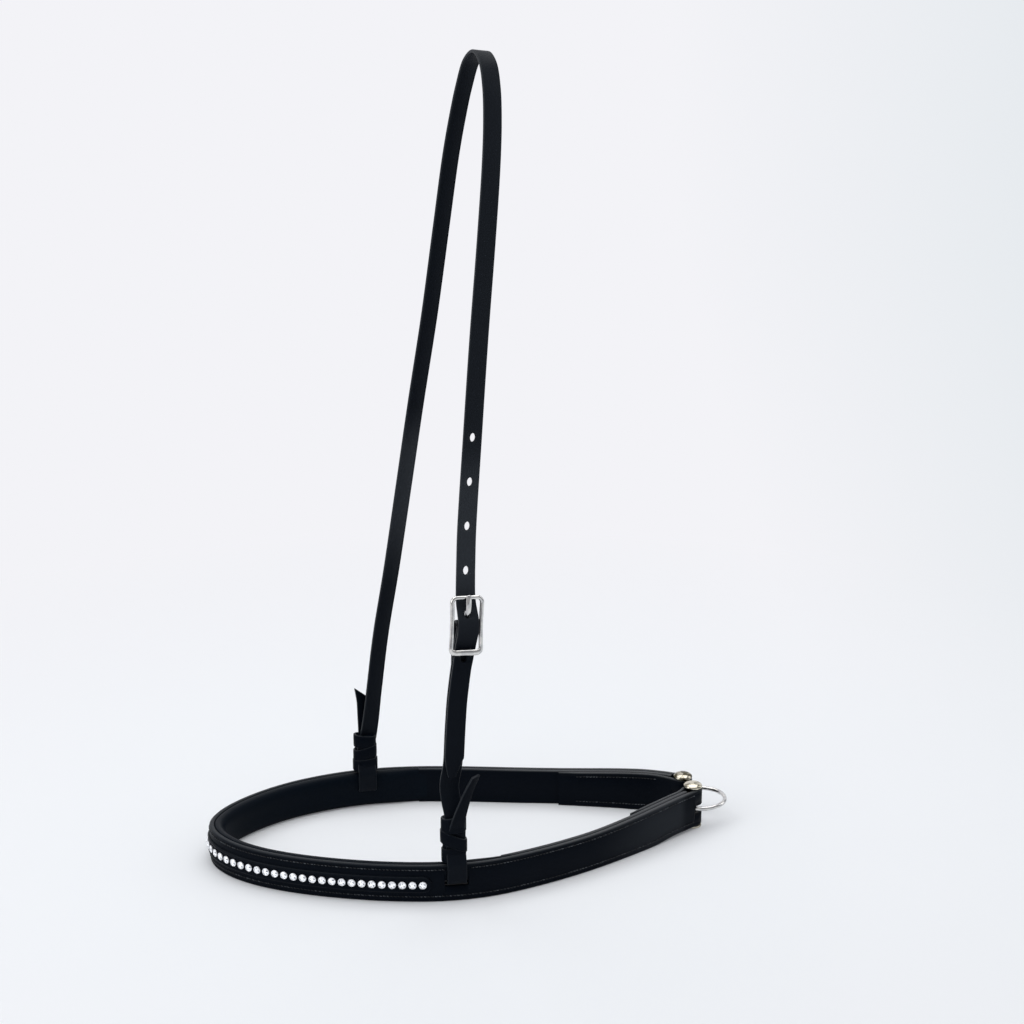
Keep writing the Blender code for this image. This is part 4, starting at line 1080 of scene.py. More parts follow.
def set_along(places, shape, material, off_true):
    """A plain mesh of one shape set at every place, each copy turned by up to off_true degrees."""
    guide = bpy.data.objects.new("guide", guide_mesh(places))
    pattern = bpy.data.objects.new("shape", shape)
    for item in (guide, pattern):
        bpy.context.scene.collection.objects.link(item)
    change = guide.modifiers.new("Copies", "NODES")
    tree = copies_tree()
    change.node_group = tree
    values = {
        "Shape": pattern,
        "Finish": finish_named(material),
        "Off true": math.radians(off_true),
        "Seed": bpy.context.scene.noseband_sizes.seed,
    }
    for item in tree.interface.items_tree:
        if item.name in values and item.in_out == "INPUT":
            change[item.identifier] = values[item.name]
    guide.update_tag()
    mesh = bpy.data.meshes.new_from_object(guide.evaluated_get(bpy.context.evaluated_depsgraph_get()))
    for item in (guide, pattern):
        bpy.data.objects.remove(item, do_unlink=True)
    return mesh


def stone_shape(width):
    """A round brilliant's crown: table, star and kite facets over a girdle, each facet with a painted glint."""
    build = bmesh.new()
    painted_glint = build.faces.layers.float.new("painted_glint")
    radius = width / 2 * 0.86
    turns = circle(16)

    def ring(share, height, first):
        return [build.verts.new((radius * share * cosine, radius * share * sine, height))
                for cosine, sine in turns[first::2]]

    def facet(corners, value):
        build.faces.new(corners)[painted_glint] = value

    table, middle, girdle = ring(0.50, 0.00135, 0), ring(0.76, 0.00105, 1), ring(1.0, 0.00060, 0)
    foot = build.verts.new((0, 0, 0))
    # Each facet's value is its painted glint: how light or dark it is painted
    facet(table, 0.45)
    for side in range(8):
        after = (side + 1) % 8
        facet((table[side], middle[side], table[after]), side % 2)
        facet((table[side], middle[side - 1], girdle[side], middle[side]), 0.1 if side % 4 == 0 else 0.9)
        facet((middle[side], girdle[side], girdle[after]), 1.0)
        facet((girdle[side], foot, girdle[after]), 0.5)
    return plain_mesh(build, "stone")


def cup_shape(width):
    """The stamped cup that holds a stone: a low dish whose rim closes over the girdle, with four claws."""
    build = bmesh.new()
    outer = width / 2
    profile = ((0, 0.00002), (outer * 0.80, 0.00002), (outer * 0.96, 0.00025), (outer, 0.00065),
               (outer * 0.97, 0.00095), (outer * 0.89, 0.00102), (outer * 0.84, 0.00085), (0, 0.00045))
    turned(build, profile, Vector((0, 0, 0)), sides=16)
    for cosine, sine in circle(8)[1::2]:
        for corner in bmesh.ops.create_icosphere(build, subdivisions=1, radius=0.00042)["verts"]:
            corner.co += Vector((cosine, sine, 0)) * outer * 0.86 + UPRIGHT * 0.00092
    mesh = plain_mesh(build, "cup")
    mesh.shade_smooth()
    return mesh


def stitch_shape(length):
    """One stitch: a short strand that dips into its holes at both ends."""
    build = bmesh.new()
    rings = []
    for share, height, size in ((-1.0, -0.00035, 0.00018), (-0.7, 0.00012, 0.00030), (0.0, 0.00026, 0.00030),
                                (0.7, 0.00012, 0.00030), (1.0, -0.00035, 0.00018)):
        rings.append([build.verts.new((length / 2 * share, size * 1.15 * cosine, height + size * sine))
                      for cosine, sine in circle(6)])
    for first, second in zip(rings, rings[1:]):
        for side in range(6):
            after = (side + 1) % 6
            build.faces.new((first[side], second[side], second[after], first[after]))
    build.faces.new(rings[0])
    build.faces.new(rings[-1])
    mesh = plain_mesh(build, "stitch")
    mesh.shade_smooth()
    return mesh


class NOSEBAND_OT_crystals(bpy.types.Operator):
    """Set the row of cups and foiled crystals along the raised channel"""

    bl_idname = "noseband.crystals"
    bl_label = "Crystal row"

    def execute(self, context):
        sizes = context.scene.noseband_sizes
        start = SLOT["near"] + CRYSTAL_END_FROM_SLOT["near"]
        end = SLOT["far"] - CRYSTAL_END_FROM_SLOT["far"]
        places = []
        for distance in evenly(start, end, sizes.crystal_pitch):
            point, ahead, inward = BAND.at(distance)
            seat = point - inward * (LAYER_GAP + sizes.channel_thickness * 0.62) + UPRIGHT * MID_HEIGHT
            places.append((seat, ahead, -inward))
        for name, shape, finish, off_true in (("cups", cup_shape, "Bright silver cup", 0),
                                              ("stones", stone_shape, "Foiled cut crystal", 40)):
            mesh = set_along(places, shape(sizes.crystal_width), finish, off_true)
            finished_piece(f"crystal_{name}", mesh, finish, "noseband", "crystals", "crystal_chain")
        return {"FINISHED"}


class NOSEBAND_OT_stitches(bpy.types.Operator):
    """Sew the band: two rows of stitches along its outer face and two along its inner face"""

    bl_idname = "noseband.stitches"
    bl_label = "Stitch rows"

    def row(self, start, end, depth, height, outward, skipped=()):
        places = []
        for distance in evenly(start, end, bpy.context.scene.noseband_sizes.stitch_pitch):
            if any(abs(distance - middle) < UNDER_STRAP for middle in skipped):
                continue
            point, ahead, inward = BAND.at(distance)
            spot = point + inward * depth
            spot.z = BAND.level(spot.x, height)
            slant = (ahead + UPRIGHT * STITCH_SLANT).normalized()
            places.append((spot, slant, -inward if outward else inward))
        return places

    def execute(self, context):
        sizes = context.scene.noseband_sizes
        shape = stitch_shape(sizes.stitch_pitch * STITCH_SHARE)
        inner_face = sizes.strap_thickness + BACKING_THICK + 3 * LAYER_GAP + RETURN_THICK
        spans = ((STITCH_FIRST_INSIDE, RETURN_LENGTH["near"] - SKIVE_LENGTH),
                 (BAND.length - RETURN_LENGTH["far"] + SKIVE_LENGTH, BAND.length - STITCH_FIRST_INSIDE))
        for level, height, skipped in (("lower", sizes.lower_margin, ()),
                                       ("upper", sizes.band_height - sizes.upper_margin, SLOT.values())):
            outer = self.row(STITCH_FIRST, BAND.length - STITCH_FIRST, 0.0, height, True, skipped)
            inner = [place for start, end in spans
                     for place in self.row(start, end, inner_face, height, False)]
            for face, places in (("outer", outer), ("inner", inner)):
                mesh = set_along(places, shape.copy(), "Waxed black thread", 3)
                finished_piece(f"{level}_{face}_stitches", mesh, "Waxed black thread", "noseband",
                               "strap_leather")
        return {"FINISHED"}


class NOSEBAND_OT_hardware(bpy.types.Operator):
    """Make the domed bolts, their flat feet and the ring"""

    bl_idname = "noseband.hardware"
    bl_label = "Bolts and ring"

    def execute(self, context):
        sizes = context.scene.noseband_sizes
        under = END_HEIGHT + BOLT_PLAY
        crown = HEAD_CROWN - HEAD_RIM
        dome = [(HEAD_RADIUS * math.sin(turn), under + HEAD_RIM + crown * math.cos(turn))
                for turn in evenly(0.0, math.pi / 2, math.pi / 16)]
        bolt = dome + [(HEAD_RADIUS, under + 0.0006), (HEAD_RADIUS - 0.0002, under + 0.0002),
                       (HEAD_RADIUS - 0.0006, under), (SHANK_RADIUS, under),
                       (SHANK_RADIUS, FOOT_HEIGHT + BOLT_PLAY), (0, FOOT_HEIGHT + BOLT_PLAY)]
        corner = ((0.0005, 0.0), (0.0001, 0.0002), (0.0, 0.0005))
        upper = [(HEAD_RADIUS - inset, FOOT_HEIGHT - drop) for inset, drop in corner]
        lower = [(HEAD_RADIUS - inset, drop) for inset, drop in reversed(corner)]
        foot = [(0, FOOT_HEIGHT), *upper, *lower, (0, 0)]
        for side, centre in BOLT.items():
            for shape, part, profile, node in (("domed", "bolt", bolt, "bolt"),
                                               ("flat", "foot", foot, "bolt_foot")):
                mesh = mesh_from(turned(bmesh.new(), profile, centre), f"{side}_{part}_metal", smooth=40)
                finished_piece(f"{side}_{shape}_{part}", mesh, "Polished pale brass", f"{side}_screw",
                               "bolt_metal", f"{side}_{node}")
        stations = []
        for cosine, sine in circle(96):
            outward = Vector((cosine, sine, 0))
            spot = RING_CENTRE + outward * RING_RADIUS
            spot.z += RING_LIFT + RING_SLOPE * (spot.x - BOLT["near"].x)
            stations.append((spot, outward, UPRIGHT))
        mesh = mesh_from(sweep(stations, round_outline(sizes.ring_wire, 20), closed=True), "ring_metal")
        finished_piece("round_ring", mesh, "Polished nickel plate", "ring", "nickel", "rear_ring")
        return {"FINISHED"}


def square_to(across, ahead):
    return (across - ahead * across.dot(ahead)).normalized()


def level_turn(degrees):
    """Level unit vector turned from +X."""
    return Vector((math.cos(math.radians(degrees)), math.sin(math.radians(degrees)), 0))


def nearest(line, height):
    """Index of the point of a leg that is nearest to a height."""
    return min(range(1, len(line) - 1), key=lambda index: abs(line[index].z - height))


def leg_across(line, table, point):
    """Direction of the strap's width on a leg, square to the leg at the point's height."""
    ahead = run_of(line, nearest(line, point.z))
    free = held((point.z - LEAN_START) / LEAN_BLEND)
    ahead = UPRIGHT.lerp(ahead if ahead.z > 0 else -ahead, free).normalized()
    return square_to(level_turn(between(table, point.z)), ahead)


NEAR_LINE = smooth_line(NEAR_LEG)
FAR_LINE = smooth_line(FAR_LEG)


def near_across(point):
    return leg_across(NEAR_LINE, NEAR_TURN, point)


def crown_across(point):
    """Direction of the crown strap's width, passing from one leg's to the other's over the poll."""
    share = held((point.y - POLL_START) / POLL_BLEND)
    return near_across(point).lerp(leg_across(FAR_LINE, FAR_TURN, point), share).normalized()


def strap_frame(line, index, across_at):
    """Unit vectors along a hanging strap, across it and out of its face."""
    ahead = run_of(line, index)
    across = square_to(across_at(line[index]), ahead)
    return ahead, across, ahead.cross(across)


def on_near_leg(height, offset=0.0):
    """Point on the near leg at a height, moved out of its face."""
    index = nearest(NEAR_LINE, height)
    ahead, _, inwards = strap_frame(NEAR_LINE, index, near_across)
    point = NEAR_LINE[index] + ahead * (height - NEAR_LINE[index].z) / ahead.z
    return point - inwards * offset


def bar_axes():
    """Unit vectors at the buckle's bar: up the strap, across it, and out of its face."""
    up, across, inwards = strap_frame(NEAR_LINE, nearest(NEAR_LINE, BAR_HEIGHT), near_across)
    return up, across, -inwards


UP, ACROSS, OUT = bar_axes()
BAR_CENTRE = on_near_leg(BAR_HEIGHT, BAR_OFFSET)


def at_buckle(rise, out, across=0.0):
    """Point in the buckle's own axes, from its bar."""
    return BAR_CENTRE + UP * rise + OUT * out + ACROSS * across


def slot_run(side, top):
    """Middle line of a strap end from the tie, down the outside, through the slot and up inside."""
    sizes = bpy.context.scene.noseband_sizes
    thick = sizes.hanger_thickness
    outside = -RUN_CLEARANCE - thick / 2
    inside = sizes.padded_depth + RUN_CLEARANCE + thick / 2
    middle = (outside + inside) / 2
    layer = thick / 2 + 0.0002
    half = (
        (middle - layer, top), (middle - layer, 0.0400), (middle - layer - 0.0006, 0.0355),
        (middle - 0.0045, 0.0308), (outside, 0.0262), (outside, 0.0205), (outside, 0.0160),
        (outside + 0.0006, 0.0141), (outside + 0.0023, SLOT_RUN_HEIGHT), (middle, SLOT_RUN_HEIGHT),
    )
    whole = half + tuple((2 * middle - depth, height) for depth, height in reversed(half[:-1]))
    point, _, inward = BAND.at(SLOT[side])
    return [point + inward * depth + UPRIGHT * height for depth, height in whole]


def crown_line():
    """From the far slot's run up the far leg, over the poll, down the near leg and through the buckle."""
    far = [Vector(point) for point in reversed(FAR_LEG)]
    arch = [Vector(point) for point in reversed(POLL_ARCH)]
    near = [Vector(point) for point in reversed(NEAR_LEG[6:])]
    billet = [on_near_leg(BAR_HEIGHT + rise, offset) for rise, offset in reversed(BILLET_WEAVE)]
    return slot_run("far", TIE_TURNS["far"][-1][0])[:0:-1] + far + arch + near + billet


def cheek_line():
    """From the back of the buckle's bar, over it, down the leg and through the near slot."""
    wrap = BAR_RADIUS + BAR_GAP + CHEEK_THICK / 2
    back = [at_buckle(rise, out) for rise, out in ((-0.0340, -0.0052), (-0.0260, -0.0055), (-0.0179, -0.0055),
                                                   (-0.0134, -0.0045), (-0.0080, -0.0028))]
    turn = [at_buckle(wrap * math.sin(math.radians(angle)), -wrap * math.cos(math.radians(angle)))
            for angle in range(0, 181, 20)]
    front = [at_buckle(rise, out) for rise, out in ((-0.0045, 0.0017), (-0.0090, -0.0004), (-0.0134, -0.0021),
                                                    (-0.0179, -0.0031))]
    down = [on_near_leg(BAR_HEIGHT + rise, offset)
            for rise, offset in ((-0.024, -0.0030), (-0.033, -0.0027), (-0.050, -0.0027), (-0.070, -0.0026),
                                 (-0.090, -0.0026))]
    down.append(on_near_leg(0.0765, -0.0026) - ACROSS * 0.0014)
    return back + turn + front + down + slot_run("near", TIE_TURNS["near"][-1][0])


def hanging_stations(points, across_at, widths=None, step=0.0016):
    """Stations of a hanging strap; widths(distance, total) gives its (left, right) half width shares."""
    line = resampled(smooth_line(points), step)
    marks = lengths_along(line)
    half = bpy.context.scene.noseband_sizes.hanger_width / 2
    stations = []
    for index, point in enumerate(line):
        _, across, inwards = strap_frame(line, index, across_at)
        left, right = widths(marks[index], marks[-1]) if widths else (1.0, 1.0)
        middle = point + across * half * (right - left) / 2
        stations.append((middle, inwards, across * (left + right) / 2))
    return stations


def hanger_outline(thickness):
    sizes = bpy.context.scene.noseband_sizes
    width = sizes.hanger_width
    return strap_outline(width, thickness, 0.0007, 0.0014, 0.00014, low=-width / 2)


def billet_hole(rise, width, height):
    centre = on_near_leg(BAR_HEIGHT + rise * UP.z)
    up, across, _ = strap_frame(NEAR_LINE, nearest(NEAR_LINE, centre.z), near_across)
    return drum(centre, (across, up, across.cross(up)), (width / 2, height / 2), PUNCH_DEPTH)


def tie_mesh(side):
    """The braid above a slot: leaning turns of the strap's end round both layers, over a solid core."""
    sizes = bpy.context.scene.noseband_sizes
    point, _, inward = BAND.at(SLOT[side])
    sideways = inward.cross(UPRIGHT)
    centre = point + inward * sizes.padded_depth / 2 + sideways * TIE_SHIFT[side]
    build = bmesh.new()
    for height, tall, lean, proud in TIE_TURNS[side]:
        outline = strap_outline(tall, TIE_LEATHER, 0.0007, 0.0012, 0.0001, low=-tall / 2)
        stations = []
        for cosine, sine in circle(40):
            wide = (sizes.tie_width / 2 + proud) * math.copysign(abs(cosine) ** 0.75, cosine)
            deep = (sizes.tie_depth / 2 + proud) * math.copysign(abs(sine) ** 0.85, sine)
            spot = centre + sideways * wide + inward * deep + UPRIGHT * (height + lean * wide)
            outward = (sideways * cosine * sizes.tie_depth + inward * sine * sizes.tie_width).normalized()
            stations.append((spot, -outward, UPRIGHT))
        sweep(stations, outline, closed=True, build=build)
    heights = [turn[0] for turn in TIE_TURNS[side]]
    core = [(centre + UPRIGHT * height, inward, sideways)
            for height in (heights[0] - 0.004, heights[-1] + 0.004)]
    half_width, half_depth = sizes.tie_width / 2 + 0.0001, sizes.tie_depth / 2 - 0.0008
    oval = [(half_depth * sine, half_width * cosine, 0.0) for cosine, sine in circle(24)]
    sweep(core, oval, build=build)
    for vertex in build.verts:
        ahead = max(0.0, (centre - vertex.co).x)
        low = held((SWING_ROOM_TOP - vertex.co.z) / SWING_ROOM_TALL)
        vertex.co.z += (SWING_ROOM_LEAST + SWING_ROOM * ahead) * low
    return mesh_from(build, f"{side}_tie_leather")


def tail_mesh(side):
    """A strap end that comes out of a tie, narrows and is cut at a slant."""
    points, turns, widths, tip = TAILS[side]
    line = resampled(smooth_line(points), 0.0012)
    marks = lengths_along(line)
    width = widths[0]
    outline = strap_outline(width, 0.0020, 0.0006, low=-width / 2)
    stations = []
    for index, point in enumerate(line):
        share = marks[index] / marks[-1]
        level = level_turn(between(((0, turns[0]), (1, turns[1])), share))
        narrow = between(((0, 1.0), (1, widths[1] / width)), share)
        ahead, across, inwards = strap_frame(line, index, lambda _point: level)
        slant = ahead * tip / width * max(0.0, share * 2 - 1)
        stations.append((point + slant * width / 2, inwards, across * narrow + slant))
    return mesh_from(sweep(stations, outline), f"{side}_tail_leather")


def finished_end(side):
    """The braid above a slot and the tail that comes out of it."""
    for part, mesh in (("braid", tie_mesh(side)), ("tail", tail_mesh(side))):
        finished_piece(f"{side}_{part}", mesh, "Black bridle leather", "hanger", "strap_leather")


class NOSEBAND_OT_crown(bpy.types.Operator):
    """Make the crown strap: far slot, over the poll, through the buckle to its pointed end"""

    bl_idname = "noseband.crown"
    bl_label = "Crown strap"

    def execute(self, context):
        sizes = context.scene.noseband_sizes

        def widths(distance, total):
            left = total - distance
            share = min(1.0, left / POINT_LENGTH)
            return 0.50 + 0.50 * share ** 0.7, 0.12 + 0.88 * share + between(BILLET_SPREAD, left)

        stations = hanging_stations(crown_line(), crown_across, widths)
        mesh = mesh_from(sweep(stations, hanger_outline(sizes.hanger_thickness)), "crown_strap_leather")
        holes = [billet_hole(FIRST_HOLE_RISE + step * HOLE_PITCH, HOLE_WIDTH, HOLE_HEIGHT)
                 for step in (-1, 1, 2, 3, 4)]
        holes.append(billet_hole(TONGUE_HOLE_RISE, TONGUE_HOLE_WIDTH, TONGUE_HOLE_HEIGHT))
        finished_piece("crown_leather", cut(mesh, holes), "Hanging strap leather with painted sheen", "hanger", "strap_leather",
                       "crown_strap")
        finished_end("far")
        return {"FINISHED"}


class NOSEBAND_OT_cheek(bpy.types.Operator):
    """Make the cheek strap: folded over the buckle's bar and laced through the near slot"""

    bl_idname = "noseband.cheek"
    bl_label = "Cheek strap"

    def execute(self, context):
        stations = hanging_stations(cheek_line(), near_across, step=0.0012)
        mesh = mesh_from(sweep(stations, hanger_outline(CHEEK_THICK)), "cheek_strap_leather")
        window = slab(at_buckle(0.0004, 0), (ACROSS, UP, ACROSS.cross(UP)), (0.0034, 0.0084, 0.0090))
        finished_piece("cheek_leather", cut(mesh, [window]), "Hanging strap leather with painted sheen", "hanger",
                       "strap_leather", "cheek_strap")
        finished_end("near")
        return {"FINISHED"}


class NOSEBAND_OT_buckle(bpy.types.Operator):
    """Make the flat buckle frame with its set back centre bar, and the tongue"""

    bl_idname = "noseband.buckle"
    bl_label = "Buckle"

    def frame_line(self):
        corners = []
        for angle in range(0, 91, 10):
            turn = math.radians(angle)
            corners.append((FRAME_HALF_WIDTH - FRAME_CORNER * (1 - math.cos(turn)),
                            FRAME_HALF_LENGTH - FRAME_CORNER * (1 - math.sin(turn))))
        waist_end = FRAME_HALF_LENGTH - FRAME_CORNER
        rises = [waist_end * step / 8 for step in range(8)]
        right = [(FRAME_HALF_WIDTH - FRAME_WAIST * (1 - (rise / waist_end) ** 2), rise) for rise in rises]
        right += corners
        right += [(FRAME_HALF_WIDTH - FRAME_CORNER - 0.002, FRAME_HALF_LENGTH), (0.0022, FRAME_HALF_LENGTH)]
        upper = right + [(-across, rise) for across, rise in reversed(right)]
        outline = upper + [(across, -rise) for across, rise in reversed(upper)][1:-1]
        return [at_buckle(rise, FRAME_STAND, across) for across, rise in outline]

    def execute(self, context):
        line = self.frame_line()
        stations = []
        for index, point in enumerate(line):
            ahead = (line[(index + 1) % len(line)] - line[index - 1]).normalized()
            sideways = ahead.cross(OUT).normalized()
            drop = (BAR_CENTRE - point).dot(UP)
            stouter = BOTTOM_STOUTER * eased(drop, FRAME_HALF_LENGTH - BOTTOM_BLEND, FRAME_HALF_LENGTH)
            point = point + UP * FRAME_WIRE * stouter
            stations.append((point, sideways * (1 + stouter), sideways.cross(ahead).normalized()))
        build = sweep(stations, round_outline(FRAME_WIRE, 20), closed=True)
        side = FRAME_HALF_WIDTH - FRAME_WAIST
        inset = side - BAR_INSET
        half = ((0.0, inset - BAR_BEND), (BAR_STEP, inset), (FRAME_STAND, side))
        bends = [(out, -across) for out, across in reversed(half)] + list(half)
        bar = [at_buckle(0, out, across) for out, across in bends]
        stations = [(point, run_of(bar, index).cross(UP).normalized(), UP) for index, point in enumerate(bar)]
        sweep(stations, round_outline(BAR_RADIUS, 16), build=build)
        finished_piece("nickel_buckle", mesh_from(build, "buckle_metal"), "Polished nickel plate", "frame",
                       "nickel", "buckle_frame")
        hook = BAR_RADIUS + BAR_GAP + TONGUE_RADIUS
        points = [at_buckle(hook * math.sin(math.radians(angle)), hook * math.cos(math.radians(angle)))
                  for angle in range(-200, 45, 20)]
        points += [at_buckle(rise, out)
                   for rise, out in ((0.0048, 0.0026), (0.0064, 0.0036), (0.0078, 0.0047), (0.0094, 0.0056),
                                     (0.0122, 0.0061), (0.0179, 0.0061), (0.0200, 0.0058))]
        line = resampled(smooth_line(points), 0.0004)
        stations = []
        for index, point in enumerate(line):
            ahead, across, inwards = strap_frame(line, index, lambda _point: ACROSS)
            left = len(line) - 1 - index
            blunt = math.sqrt(max(0.05, 1 - max(0.0, 1 - left / 3) ** 2))
            broad = 1.1 + 0.6 * eased((point - BAR_CENTRE).dot(UP), 0.0050, 0.0090)
            stations.append((point, inwards * blunt, across * blunt * broad))
        mesh = mesh_from(sweep(stations, round_outline(TONGUE_RADIUS, 16)), "tongue_metal")
        finished_piece("nickel_tongue", mesh, "Polished nickel plate", "tongue", "nickel", "buckle_tongue")
        return {"FINISHED"}


class NOSEBAND_OT_stage(bpy.types.Operator):
    """Set up the pale floor, the soft studio light and the camera of the photograph"""

    bl_idname = "noseband.stage"
    bl_label = "Stage"

    def backdrop(self, studio):
        """A sheet of paper: flat under the object, curving up far behind it.

        To the eye it is evenly lit, with a painted shade that deepens it a little on the right, and it takes the
        object's own soft shadows only close round it.
        """
        profile = [(PAPER_FRONT, 0.0), (PAPER_BEND, 0.0)]
        for angle in evenly(0.0, 90.0, 7.5)[1:]:
            turn = math.radians(angle)
            profile.append((PAPER_BEND + PAPER_RADIUS * math.sin(turn), PAPER_RADIUS * (1 - math.cos(turn))))
        profile.append((PAPER_BEND + PAPER_RADIUS, PAPER_TOP))
        build = bmesh.new()
        sides = [[build.verts.new((across, y, z)) for y, z in profile]
                 for across in (-PAPER_HALF_WIDTH, PAPER_HALF_WIDTH)]
        for index in range(len(profile) - 1):
            build.faces.new((sides[0][index], sides[1][index], sides[1][index + 1], sides[0][index + 1]))
        mesh = bpy.data.meshes.new("paper_backdrop")
        build.to_mesh(mesh)
        build.free()
        mesh.shade_smooth()
        material = bpy.data.materials.new("Seamless paper")
        material.use_nodes = True
        tree = material.node_tree
        tree.nodes.clear()
        output = tree.nodes.new("ShaderNodeOutputMaterial")
        paper = add_node(tree, "ShaderNodeBsdfDiffuse", None, Color=(*studio.floor, 1))
        place = add_node(tree, "ShaderNodeTexCoord").outputs["Object"]
        parts = add_node(tree, "ShaderNodeSeparateXYZ", None, Vector=place)
        # Painted shade: the paper's colour falls to the shaded one towards the right
        behind = add_node(tree, "ShaderNodeMath", {"operation": "ADD"})
        tree.links.new(parts.outputs["Y"], behind.inputs[0])
        behind.inputs[1].default_value = 1.2
        ahead = add_node(tree, "ShaderNodeMath", {"operation": "MAXIMUM"})
        tree.links.new(behind.outputs[0], ahead.inputs[0])
        ahead.inputs[1].default_value = 0.3
        fan = add_node(tree, "ShaderNodeMath", {"operation": "DIVIDE"})
        tree.links.new(parts.outputs["X"], fan.inputs[0])
        tree.links.new(ahead.outputs[0], fan.inputs[1])
        fall = add_node(tree, "ShaderNodeMapRange", None, Value=fan.outputs[0])
        fall.inputs["From Min"].default_value = 0.22
        fall.inputs["From Max"].default_value = 0.42
        tint = add_node(tree, "ShaderNodeMix", {"data_type": "RGBA"})
        reach = add_node(tree, "ShaderNodeVectorMath", {"operation": "LENGTH"}, Vector=place)
        near = add_node(tree, "ShaderNodeMapRange", None, Value=reach.outputs["Value"])
        near.inputs["From Min"].default_value = 3.9
        near.inputs["From Max"].default_value = 4.9
        near.inputs["To Min"].default_value = 1.0
        near.inputs["To Max"].default_value = 0.0
        shade = add_node(tree, "ShaderNodeMath", {"operation": "MULTIPLY"})
        tree.links.new(fall.outputs["Result"], shade.inputs[0])
        tree.links.new(near.outputs["Result"], shade.inputs[1])
        tree.links.new(shade.outputs[0], tint.inputs[0])
        tint.inputs[6].default_value = (*studio.backdrop, 1)
        tint.inputs[7].default_value = (*studio.shaded, 1)
        glow = add_node(tree, "ShaderNodeEmission", None, Color=tint.outputs[2], Strength=1.0)
        path = add_node(tree, "ShaderNodeLightPath")
        seen = add_node(tree, "ShaderNodeMath", {"operation": "MAXIMUM"})
        tree.links.new(path.outputs["Is Camera Ray"], seen.inputs[0])
        tree.links.new(path.outputs["Is Glossy Ray"], seen.inputs[1])
        even = add_node(tree, "ShaderNodeMapRange", None, Value=reach.outputs["Value"])
        even.inputs["From Min"].default_value = 0.22
        even.inputs["From Max"].default_value = 0.75
        even.inputs["To Min"].default_value = 0.10
        even.inputs["To Max"].default_value = 1.0
        part = add_node(tree, "ShaderNodeMath", {"operation": "MULTIPLY"})
        tree.links.new(seen.outputs[0], part.inputs[0])
        tree.links.new(even.outputs["Result"], part.inputs[1])
        both = add_node(tree, "ShaderNodeMixShader")
        tree.links.new(part.outputs[0], both.inputs[0])
        tree.links.new(paper.outputs[0], both.inputs[1])
        tree.links.new(glow.outputs[0], both.inputs[2])
        tree.links.new(both.outputs[0], output.inputs["Surface"])
        mesh.materials.append(material)
        item = bpy.data.objects.new("paper_backdrop", mesh)
        bpy.context.scene.collection.objects.link(item)

    def light(self, name, place, target, size, power):
        lamp = bpy.data.lights.new(name, "AREA")
        lamp.shape = "RECTANGLE"
        lamp.size, lamp.size_y = size
        lamp.energy = power
        item = bpy.data.objects.new(name, lamp)
        item.location = place
        item.rotation_euler = (Vector(target) - Vector(place)).to_track_quat("-Z", "Y").to_euler()
        bpy.context.scene.collection.objects.link(item)

    def execute(self, context):
        studio = context.scene.noseband_studio
        self.backdrop(studio)
        self.light("top softbox", (0.0, 0.3, 1.9), (0, 0, 0), (2.4, 2.0), studio.top_power)
        self.light("left softbox", (-1.7, -0.5, 1.1), (0, 0, 0.2), (1.0, 1.4), studio.side_power)
        self.light("right softbox", (1.8, 0.2, 1.0), (0, 0, 0.2), (0.8, 1.4), studio.side_power * 0.5)
        world = bpy.data.worlds.new("Studio room")
        world.use_nodes = True
        tree = world.node_tree
        tree.nodes.clear()
        room = add_node(tree, "ShaderNodeBackground", None, Color=(*studio.backdrop, 1), Strength=studio.room)
        beyond = add_node(tree, "ShaderNodeBackground", None, Color=(*studio.backdrop, 1), Strength=1.0)
        seen = add_node(tree, "ShaderNodeLightPath").outputs["Is Camera Ray"]
        both = add_node(tree, "ShaderNodeMixShader")
        tree.links.new(seen, both.inputs[0])
        tree.links.new(room.outputs[0], both.inputs[1])
        tree.links.new(beyond.outputs[0], both.inputs[2])
        tree.links.new(both.outputs[0], add_node(tree, "ShaderNodeOutputWorld").inputs["Surface"])
        context.scene.world = world
        context.scene.view_settings.view_transform = "Standard"
        lens = bpy.data.cameras.new("Photograph camera")
        lens.lens = CAMERA_LENS
        lens.sensor_width = 36
        lens.sensor_fit = "HORIZONTAL"
        camera = bpy.data.objects.new("Photograph camera", lens)
        camera.location = CAMERA_PLACE - CENTRE
        camera.rotation_euler = (math.radians(90 - CAMERA_PITCH), 0, math.radians(-CAMERA_HEADING))
        context.scene.collection.objects.link(camera)
        context.scene.camera = camera
        return {"FINISHED"}


PIECE_OPERATORS = (
    NOSEBAND_OT_strap,
    NOSEBAND_OT_backings,
    NOSEBAND_OT_padding,
    NOSEBAND_OT_channel,
    NOSEBAND_OT_crystals,
    NOSEBAND_OT_stitches,
    NOSEBAND_OT_hardware,
    NOSEBAND_OT_crown,
    NOSEBAND_OT_cheek,
    NOSEBAND_OT_buckle,
    NOSEBAND_OT_stage,
)


class NOSEBAND_PT_panel(bpy.types.Panel):
    """Sizes, colours and the pieces of the noseband"""

    bl_idname = "NOSEBAND_PT_panel"
    bl_label = "Noseband"
    bl_space_type = "VIEW_3D"
    bl_region_type = "UI"
    bl_category = "Noseband"

    def draw(self, context):
        scene = context.scene
        for group in (scene.noseband_sizes, scene.noseband_colours, scene.noseband_studio):
            box = self.layout.box()
            for name in group.bl_rna.properties.keys():
                if name not in ("rna_type", "name"):
                    box.prop(group, name)
        for operator in PIECE_OPERATORS:
            self.layout.operator(operator.bl_idname)


CLASSES = (NosebandSizes, NosebandColours, StudioSettings, *PIECE_OPERATORS, NOSEBAND_PT_panel)


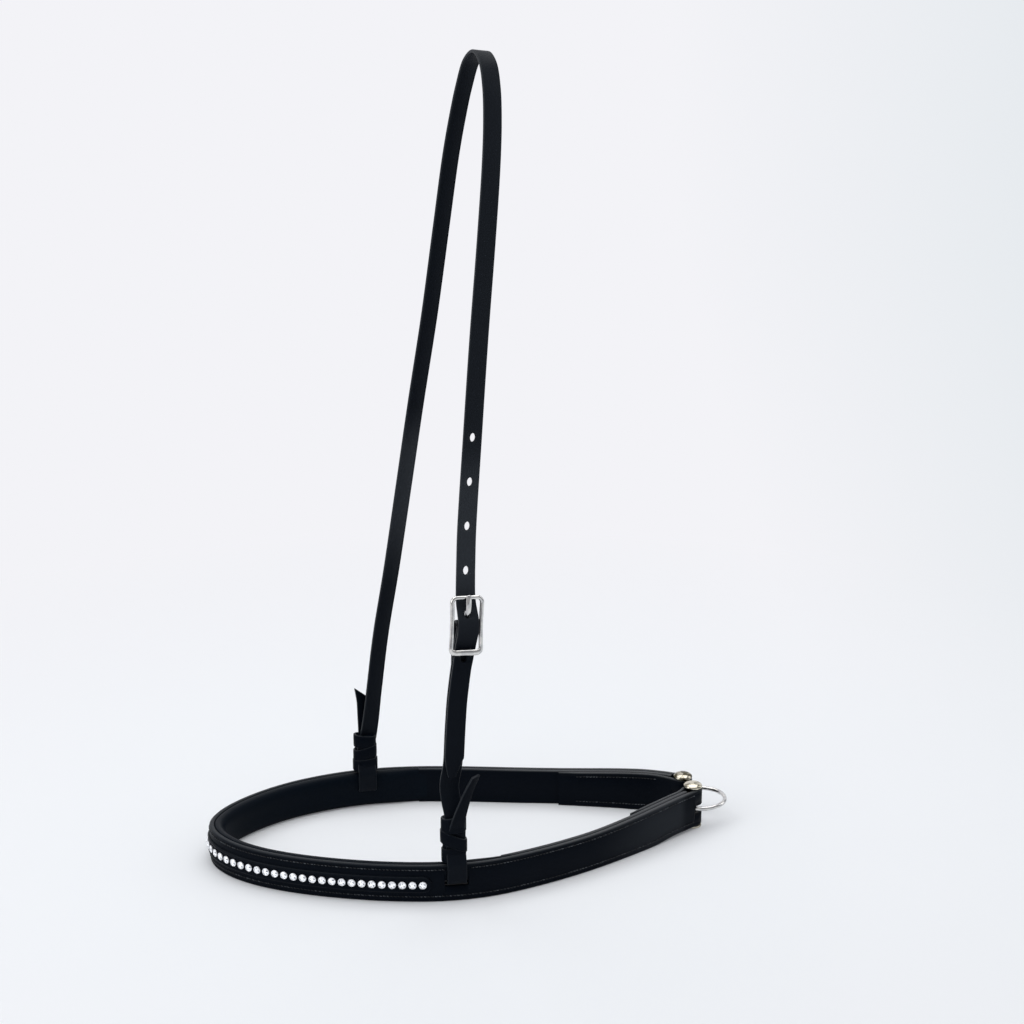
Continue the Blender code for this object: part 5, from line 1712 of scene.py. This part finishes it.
def register():
    for item in CLASSES:
        bpy.utils.register_class(item)
    bpy.types.Scene.noseband_sizes = PointerProperty(type=NosebandSizes)
    bpy.types.Scene.noseband_colours = PointerProperty(type=NosebandColours)
    bpy.types.Scene.noseband_studio = PointerProperty(type=StudioSettings)


def unregister():
    del bpy.types.Scene.noseband_studio
    del bpy.types.Scene.noseband_colours
    del bpy.types.Scene.noseband_sizes
    for item in reversed(CLASSES):
        bpy.utils.unregister_class(item)


def main():
    register()
    bpy.ops.noseband.stage()
    bpy.ops.noseband.strap()
    bpy.ops.noseband.backings()
    bpy.ops.noseband.padding()
    bpy.ops.noseband.channel()
    bpy.ops.noseband.crystals()
    bpy.ops.noseband.stitches()
    bpy.ops.noseband.hardware()
    bpy.ops.noseband.crown()
    bpy.ops.noseband.cheek()
    bpy.ops.noseband.buckle()


if __name__ == "__main__":
    main()
